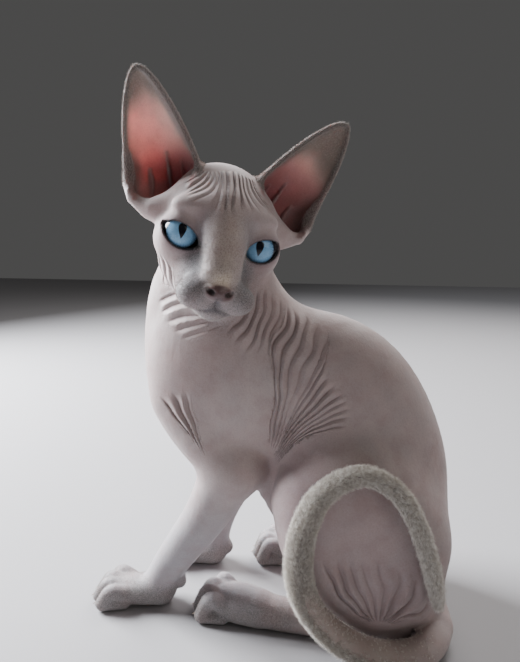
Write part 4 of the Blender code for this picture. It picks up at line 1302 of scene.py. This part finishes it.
for side in (-1, 1):
    ball = eye_ball(side)
    ball.data.materials.append(eye.material)
    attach(ball, "root")
    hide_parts("eye_left" if side > 0 else "eye_right")


# Coat
# Short dense hair on the tail and finer down on the ear rims, the muzzle and the bridge of the nose. Each
# tuft is three slim spikes that lean the way the hair grows; the net of nodes sows them over the skin.


def tuft_mesh(name, spikes, width, bow, bends):
    """A tuft one unit tall: slim three-sided spikes that lean apart and bow over towards +X."""
    bm = bmesh.new()
    for i in range(spikes):
        turn = 2 * math.pi * i / spikes + 0.4
        lean = 0.0 if spikes == 1 else 0.28
        foot = Vector((math.cos(turn), math.sin(turn), 0.0)) * (0.0 if spikes == 1 else 0.10)
        rings = []
        for height, wide in ((0.0, 1.0), (0.55, 0.72))[: 1 + bends]:
            aside = Vector((math.cos(turn), math.sin(turn), 0.0)) * lean * height
            middle = foot + aside + Vector((bow * height**2, 0.0, height))
            ring = []
            for k in range(3):
                a = turn + 2 * math.pi * k / 3
                ring.append(bm.verts.new(middle + Vector((math.cos(a), math.sin(a), 0)) * width * wide))
            rings.append(ring)
        tip = bm.verts.new(foot + Vector((math.cos(turn) * lean + bow, math.sin(turn) * lean, 1.0)))
        low, high = rings[0], rings[-1]
        for k in range(3):
            n = (k + 1) % 3
            if bends:
                bm.faces.new((low[k], low[n], high[n], high[k]))
            bm.faces.new((high[k], high[n], tip))
        bm.faces.new((low[2], low[1], low[0]))
    obj = mesh_object(name, bm)
    patch = [(v.co.x, v.co.z, 0.0) for v in obj.data.vertices]
    attribute(obj, "patch", patch, "FLOAT_VECTOR")
    return obj


def sowing_tree(name):
    """The node tree that sows tufts: a point per tuft, turned along the growth, sized, made real, and given
    a patch of the bake map at its root."""
    tree = bpy.data.node_groups.new(name, "GeometryNodeTree")
    face = tree.interface
    face.new_socket("Geometry", in_out="INPUT", socket_type="NodeSocketGeometry")
    face.new_socket("Tuft", in_out="INPUT", socket_type="NodeSocketObject")
    for label in ("Tufts per square metre", "Length", "Width", "Rise", "Unevenness"):
        face.new_socket(label, in_out="INPUT", socket_type="NodeSocketFloat")
    face.new_socket("Seed", in_out="INPUT", socket_type="NodeSocketInt")
    face.new_socket("Material", in_out="INPUT", socket_type="NodeSocketMaterial")
    face.new_socket("Geometry", in_out="OUTPUT", socket_type="NodeSocketGeometry")
    nodes, links = tree.nodes, tree.links
    source, target = nodes.new("NodeGroupInput"), nodes.new("NodeGroupOutput")

    def add(kind, settings=(), **inputs):
        node = nodes.new(kind)
        for key, value in dict(settings).items():
            setattr(node, key, value)
        for key, value in inputs.items():
            put(value, node.inputs[key.replace("_", " ")])
        return node

    def put(value, socket):
        if isinstance(value, bpy.types.NodeSocket):
            links.new(value, socket)
        else:
            socket.default_value = value

    def read(label, kind="FLOAT"):
        return add("GeometryNodeInputNamedAttribute", {"data_type": kind}, Name=label).outputs["Attribute"]

    def maths(operation, a, b):
        node = nodes.new("ShaderNodeMath")
        node.operation = operation
        put(a, node.inputs[0])
        put(b, node.inputs[1])
        return node.outputs[0]

    def vector(operation, a, b=None, scale=None):
        node = nodes.new("ShaderNodeVectorMath")
        node.operation = operation
        put(a, node.inputs[0])
        if b is not None:
            put(b, node.inputs[1])
        if scale is not None:
            put(scale, node.inputs["Scale"])
        return node.outputs[0]

    density = maths("MULTIPLY", source.outputs["Tufts per square metre"], read("coat"))
    sown = add("GeometryNodeDistributePointsOnFaces", {"distribute_method": "RANDOM"},
               Mesh=source.outputs["Geometry"], Density=density, Seed=source.outputs["Seed"])
    root = add("GeometryNodeStoreNamedAttribute", {"data_type": "FLOAT_VECTOR", "domain": "POINT"},
               Geometry=sown.outputs["Points"], Name="root_place", Value=read("OFBake", "FLOAT_VECTOR"))
    upright = vector("SCALE", sown.outputs["Normal"], scale=source.outputs["Rise"])
    stray = add("FunctionNodeRandomValue", {"data_type": "FLOAT_VECTOR"},
                Min=(-1, -1, -1), Max=(1, 1, 1), Seed=maths("ADD", source.outputs["Seed"], 5))
    strayed = vector("SCALE", stray.outputs[0], scale=source.outputs["Unevenness"])
    way = vector("ADD", vector("ADD", upright, read("growth", "FLOAT_VECTOR")), strayed)
    turned = add("FunctionNodeAlignRotationToVector", {"axis": "Z"}, Vector=way)
    spun = add("FunctionNodeRandomValue", {"data_type": "FLOAT"}, Seed=maths("ADD", source.outputs["Seed"], 9))
    spun.inputs[2].default_value, spun.inputs[3].default_value = 0.0, 6.283
    spin = add("FunctionNodeAxisAngleToRotation", Axis=(0, 0, 1), Angle=spun.outputs[1])
    both = add("FunctionNodeRotateRotation", {"rotation_space": "LOCAL"},
               Rotation=turned.outputs[0], Rotate_By=spin.outputs[0])
    uneven = add("FunctionNodeRandomValue", {"data_type": "FLOAT"}, Seed=maths("ADD", source.outputs["Seed"], 2))
    uneven.inputs[2].default_value, uneven.inputs[3].default_value = 0.62, 1.15
    long = maths("MULTIPLY", maths("MULTIPLY", uneven.outputs[1], source.outputs["Length"]), read("coat_length"))
    size = nodes.new("ShaderNodeCombineXYZ")
    for i in (0, 1):
        put(source.outputs["Width"], size.inputs[i])
    put(long, size.inputs[2])
    tuft = add("GeometryNodeObjectInfo", {"transform_space": "ORIGINAL"}, Object=source.outputs["Tuft"])
    placed = add("GeometryNodeInstanceOnPoints", Points=root.outputs[0], Instance=tuft.outputs["Geometry"],
                 Rotation=both.outputs[0], Scale=size.outputs[0])
    real = add("GeometryNodeRealizeInstances", Geometry=placed.outputs[0])
    spread = vector("SCALE", read("patch", "FLOAT_VECTOR"), scale=0.003)
    bake = vector("ADD", read("root_place", "FLOAT_VECTOR"), spread)
    mapped = add("GeometryNodeStoreNamedAttribute", {"data_type": "FLOAT2", "domain": "CORNER"},
                 Geometry=real.outputs[0], Name="OFBake", Value=bake)
    dressed = add("GeometryNodeSetMaterial", Geometry=mapped.outputs[0], Material=source.outputs["Material"])
    links.new(dressed.outputs[0], target.inputs[0])
    return tree


SOWING = sowing_tree("sow_tufts")


def sow(name, bed, tuft, **values):
    """Runs the sowing tree on a bed of skin and keeps the tufts as a plain mesh."""
    modifier = bed.modifiers.new("Sow", "NODES")
    modifier.node_group = SOWING
    labels = {s.name: s.identifier for s in SOWING.interface.items_tree if s.in_out == "INPUT"}
    modifier[labels["Tuft"]] = tuft
    for label, value in values.items():
        modifier[labels[label.replace("_", " ")]] = value
    bed.update_tag()
    apply_modifiers(bed)
    bed.name = name
    bed.data.materials.clear()
    bed.data.materials.append(values["Material"])
    for label in ("root_place", "patch", "growth", "coat", "coat_length"):
        if label in bed.data.attributes:
            bed.data.attributes.remove(bed.data.attributes[label])
    return bed


skin.data.calc_loop_triangles()
SKIN_FACES = np.empty(len(skin.data.loop_triangles) * 3, np.int32)
skin.data.loop_triangles.foreach_get("vertices", SKIN_FACES)
SKIN_FACES = SKIN_FACES.reshape(-1, 3)


def bed_of(name, chosen, growth, coat, length, unwrap):
    """A copy of the chosen faces of the skin, with the growth, thickness, tone and bake map of their coat."""
    used, faces = np.unique(SKIN_FACES[chosen], return_inverse=True)
    faces = faces.reshape(-1, 3)
    mesh = bpy.data.meshes.new(name)
    mesh.from_pydata((get_points(skin)[used] * MM).tolist(), [], faces.tolist())
    obj = bpy.data.objects.new(name, mesh)
    bpy.context.collection.objects.link(obj)
    attribute(obj, "growth", growth[used], "FLOAT_VECTOR")
    attribute(obj, "coat", coat[used])
    attribute(obj, "coat_tone", np.c_[tone[used], np.ones(len(used))], "FLOAT_COLOR")
    attribute(obj, "coat_length", length[used])
    layer = mesh.uv_layers.new(name="OFBake")
    corners = faces.ravel()
    layer.data.foreach_set("uv", unwrap[used][corners].astype(np.float32).ravel())
    return obj


hair = Nodes("tail_hair")
banded = hair.noise(520.0, 3.0, 0.6)
fleck = hair.noise(210.0, 3.0, 0.7)
hair_tone = hair.mix(hair.spread(banded.outputs[0], 0.40, 0.60), (0.62, 0.56, 0.49, 1.0), (0.84, 0.80, 0.74, 1.0))
dark_fleck = hair.spread(fleck.outputs[0], 0.50, 0.72, 0.0, 0.26)
hair_tone = hair.mix(dark_fleck, hair_tone, (0.27, 0.24, 0.21, 1.0))
hair.join(hair_tone, hair.shader.inputs["Base Color"])
hair.shader.inputs["Roughness"].default_value = 0.62
hair.shader.inputs["Sheen Weight"].default_value = 0.15

place = get_points(skin) + np.array(ORIGIN)
normals = get_normals(skin)
off, station = tail_share(place)
count = len(tail.path)
index = np.clip((station * 4).astype(int), 0, count - 2)
ahead = tail.path[index + 1, :3] - tail.path[index, :3]
ahead /= np.linalg.norm(ahead, axis=1)[:, None]
middle = tail.path[index, :3] + (station * 4 - index)[:, None] * (tail.path[index + 1, :3] - tail.path[index, :3])
on_tail = (off < 1.5) & (station > 2.6) & (place[:, 2] > 2.5)
up = np.array((0.0, 0.0, 1.0))
loop_middle = np.array((-14.0, -66.0, 62.0))
inward = loop_middle - middle
inward[:, 1] = 0
inward /= np.linalg.norm(inward, axis=1)[:, None] + 1e-9
faces_in = (normals * inward).sum(1)
bare = ease((faces_in + 0.15) / 0.5) * ease((9.0 - station) / 3.0)
bare = np.maximum(bare, ease((5.2 - station) / 2.0))
thick = np.clip(1 - 0.93 * bare, 0.05, 1) * ease((station - 2.6) / 1.2)
length = (0.45 + 0.55 * thick) * (1 + 0.25 * ease((station - 15) / 3)) * (1 - 0.25 * ease((station - 18.6) / 0.6))
run = np.r_[0, np.cumsum(np.linalg.norm(np.diff(tail.path[:, :3], axis=0), axis=1))]
along = np.interp(station * 4, np.arange(count), run)
first = np.cross(ahead, up)
first /= np.linalg.norm(first, axis=1)[:, None] + 1e-9
second = np.cross(first, ahead)
radial = place - middle
around = np.arctan2((radial * second).sum(1), (radial * first).sum(1)) / (2 * np.pi) + 0.5
unwrap = np.stack([0.02 + 0.96 * along / run[-1], 0.02 + 0.2 * around], 1)
lock = tuft_mesh("lock", 3, 0.055, 0.18, 1)
face_station = station[SKIN_FACES].mean(1)
on_tail = on_tail[SKIN_FACES].all(1)
for part, low, high in (("rise", 0.0, 9.0), ("arch", 9.0, 14.5), ("tip", 14.5, 40.0)):
    chosen = on_tail & (face_station >= low) & (face_station < high)
    bed = bed_of("bed", chosen, ahead, thick, length, unwrap)
    coat = sow("tail_coat_" + part, bed, lock, Tufts_per_square_metre=2.2e6, Length=3.4 * MM,
               Width=1.9 * MM, Rise=0.50, Unevenness=0.28, Seed=3, Material=hair.material)
    coat.data.shade_smooth()
    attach(coat, "root")
bpy.data.objects.remove(lock)

# Down
# Fine pale down that roughens the muzzle, the bridge of the nose, the rims of the ears and the paws. It is
# laid short and flat, in the tone of the skin that it stands on.

down = Nodes("fine_down")
down_tone = down.mix(0.42, down.read("coat_tone").outputs["Color"], (0.62, 0.57, 0.52, 1.0))
down.join(down_tone, down.shader.inputs["Base Color"])
down.shader.inputs["Roughness"].default_value = 0.7

head_place = (place - np.array(EYES_MIDDLE)) @ np.array(HEAD)
outward = head_place - np.array((0.0, -16.0, 0.0))
outward /= np.linalg.norm(outward, axis=1)[:, None]
swept = head_place - np.array((0.0, 34.0, -20.0))
swept = swept @ np.array(HEAD).T
swept /= np.linalg.norm(swept, axis=1)[:, None]
round_head = np.arctan2(outward[:, 0], outward[:, 1]) / (2 * np.pi) + 0.5
head_unwrap = np.stack([0.02 + 0.96 * round_head, 0.3 + 0.2 * (outward[:, 2] + 1)], 1)
forward = np.tile((-1.0, 0.0, -0.1), (len(place), 1))
paw_unwrap = np.stack([0.02 + 0.96 * (place[:, 0] + 200) / 260, 0.75 + 0.2 * (place[:, 1] + 70) / 140], 1)
fluff = tuft_mesh("fluff", 3, 0.08, 0.2, 0)

ear_rims = np.zeros(len(place))
ear_growth = np.zeros((len(place), 3))
ear_unwrap = np.zeros((len(place), 2))
for side in (-1, 1):
    ear = Ear(side)
    marks = np.linspace(0.0, 1.0, 24)
    rows = [[ear.spot(v, 2 * i / 24 - 1) for i in range(25)] for v in marks]
    near, v, along, away = Patch(rows, marks).find(place, 4.5)
    u = 2 * along - 1
    rim = np.maximum(ease((np.abs(u) - 0.86) / 0.12), ease((v - 0.93) / 0.06)) * ease(v / 0.1)
    band = 0.5 * ease((-0.5 - u) / 0.3) * ease(v / 0.10) + 0.35 * ease((v - 0.6) / 0.2)
    ear_rims[near] = np.maximum(rim, band) * ease((4.2 - away) / 1.5)
    rise = HEAD @ Vector((ear.rise.x * side, ear.rise.y, ear.rise.z))
    ear_growth[near] = np.array(rise)
    ear_unwrap[near] = np.stack([0.26 + 0.2 * side + 0.2 * along, 0.55 + 0.18 * v], 1)

beds = [
    ("face_down", face_down, swept, head_unwrap, 2.6e6, 0.85, 0.42),
    ("ear_down", ear_rims, ear_growth, ear_unwrap, 3.0e6, 1.25, 0.55),
    ("paw_down", paw_down, forward, paw_unwrap, 1.5e6, 0.85, 0.35),
]
for name, share, growth, unwrap, density, long, rise in beds:
    chosen = (share > 0.12)[SKIN_FACES].all(1)
    length = np.full(len(place), 1.0)
    bed = bed_of("bed", chosen, growth, np.clip(share, 0, 1), length, unwrap)
    coat = sow(name, bed, fluff, Tufts_per_square_metre=density, Length=long * MM,
               Width=0.62 * MM, Rise=rise, Unevenness=0.30, Seed=11, Material=down.material)
    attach(coat, "root")
bpy.data.objects.remove(fluff)


# Claws
# A small hooked claw half sunk in the tip of each front and hind toe, as horn.

CLAW_LENGTH = 4.2


def toe_paths():
    paws = [form for form in BODY if isinstance(form, Group) and isinstance(form.forms[0], Group)]
    return [toe.forms[0].path for paw in paws for toe in paw.forms]


def add_claw(bm, path):
    end = path[-1]
    ahead = Vector(end[:3] - path[-3][:3])
    ahead = Vector((ahead.x, ahead.y, 0.0)).normalized()
    aside = Vector((ahead.y, -ahead.x, 0.0))
    start = Vector(end[:3]) + ahead * end[3] * 0.55 + Vector((0, 0, end[3] * 0.22))
    rings = []
    for i in range(5):
        t = i / 5
        middle = start + ahead * CLAW_LENGTH * t - Vector((0, 0, 1.9 * t * t))
        ring = []
        for k in range(7):
            a = 2 * math.pi * k / 7
            spot = middle + (aside * 0.62 * math.cos(a) + Vector((0, 0, 1.0)) * math.sin(a)) * (1 - t)
            spot.z = max(spot.z, 0.1)
            ring.append(bm.verts.new((spot - ORIGIN) * MM))
        rings.append(ring)
    tip = bm.verts.new((start + ahead * CLAW_LENGTH - Vector((0, 0, 1.9)) - ORIGIN) * MM)
    for low, high in zip(rings, rings[1:]):
        for k in range(7):
            n = (k + 1) % 7
            bm.faces.new((low[k], low[n], high[n], high[k]))
    for k in range(7):
        bm.faces.new((rings[-1][k], rings[-1][(k + 1) % 7], tip))
    bm.faces.new(rings[0][::-1])


bm = bmesh.new()
for path in toe_paths():
    add_claw(bm, path)
bmesh.ops.recalc_face_normals(bm, faces=bm.faces)
claws = mesh_object("claws", bm)
claws.data.shade_smooth()
horn = Nodes("claw_horn")
horn.shader.inputs["Base Color"].default_value = (0.46, 0.37, 0.30, 1.0)
horn.shader.inputs["Roughness"].default_value = 0.35
claws.data.materials.append(horn.material)
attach(claws, "root")


# Floor, light and camera

def stage_part(name, low, high):
    bm = bmesh.new()
    middle = (Vector(low) + Vector(high)) / 2
    size = Vector(high) - Vector(low)
    bmesh.ops.create_cube(bm, size=1.0, matrix=Matrix.Translation(middle) @ Matrix.Diagonal((*size, 1.0)))
    return mesh_object(name, bm)


floor = stage_part("floor", (-3.0, -3.0, -0.02), (3.0, 3.0, 0.0))
floor_material = bpy.data.materials.new("floor_paper")
floor_material.use_nodes = True
floor_shader = floor_material.node_tree.nodes["Principled BSDF"]
floor_shader.inputs["Base Color"].default_value = (0.38, 0.37, 0.38, 1.0)
floor_shader.inputs["Roughness"].default_value = 0.9
floor.data.materials.append(floor_material)

CAMERA_AZIMUTH = math.radians(15)
CAMERA_HEIGHT = math.radians(9)
CAMERA_PLACE = (0.0786, -0.32626, 0.23485)
away = Vector((
    math.sin(CAMERA_AZIMUTH) * math.cos(CAMERA_HEIGHT),
    -math.cos(CAMERA_AZIMUTH) * math.cos(CAMERA_HEIGHT),
    math.sin(CAMERA_HEIGHT),
))
lens = bpy.data.cameras.new("camera")
lens.sensor_fit = "VERTICAL"
lens.sensor_height = 36.0
lens.lens = 36.0 * 540 / 662
lens.clip_start = 0.01
camera = bpy.data.objects.new("camera", lens)
camera.location = CAMERA_PLACE
camera.rotation_euler = away.to_track_quat("Z", "Y").to_euler()
bpy.context.collection.objects.link(camera)
bpy.context.scene.camera = camera


def soft_light(name, place, target, size, power, colour):
    lamp = bpy.data.lights.new(name, "AREA")
    lamp.shape = "RECTANGLE"
    lamp.size, lamp.size_y = size
    lamp.energy = power
    lamp.color = colour
    obj = bpy.data.objects.new(name, lamp)
    obj.location = place
    way = Vector(place) - Vector(target)
    obj.rotation_euler = way.to_track_quat("Z", "Y").to_euler()
    bpy.context.collection.objects.link(obj)


MIDDLE = (0.0, 0.0, 0.17)
soft_light("window", (-1.0, 0.22, 0.68), MIDDLE, (0.7, 0.9), 95.0, (0.93, 0.96, 1.0))
soft_light("room", (1.1, -0.45, 0.85), MIDDLE, (1.0, 1.0), 3.5, (1.0, 0.95, 0.90))
soft_light("back", (0.30, 1.0, 1.2), MIDDLE, (1.0, 0.8), 24.0, (1.0, 0.98, 0.97))
world = bpy.data.worlds.new("studio")
world.use_nodes = True
world.node_tree.nodes["Background"].inputs["Color"].default_value = (0.95, 0.94, 0.93, 1.0)
world.node_tree.nodes["Background"].inputs["Strength"].default_value = 0.08
bpy.context.scene.world = world
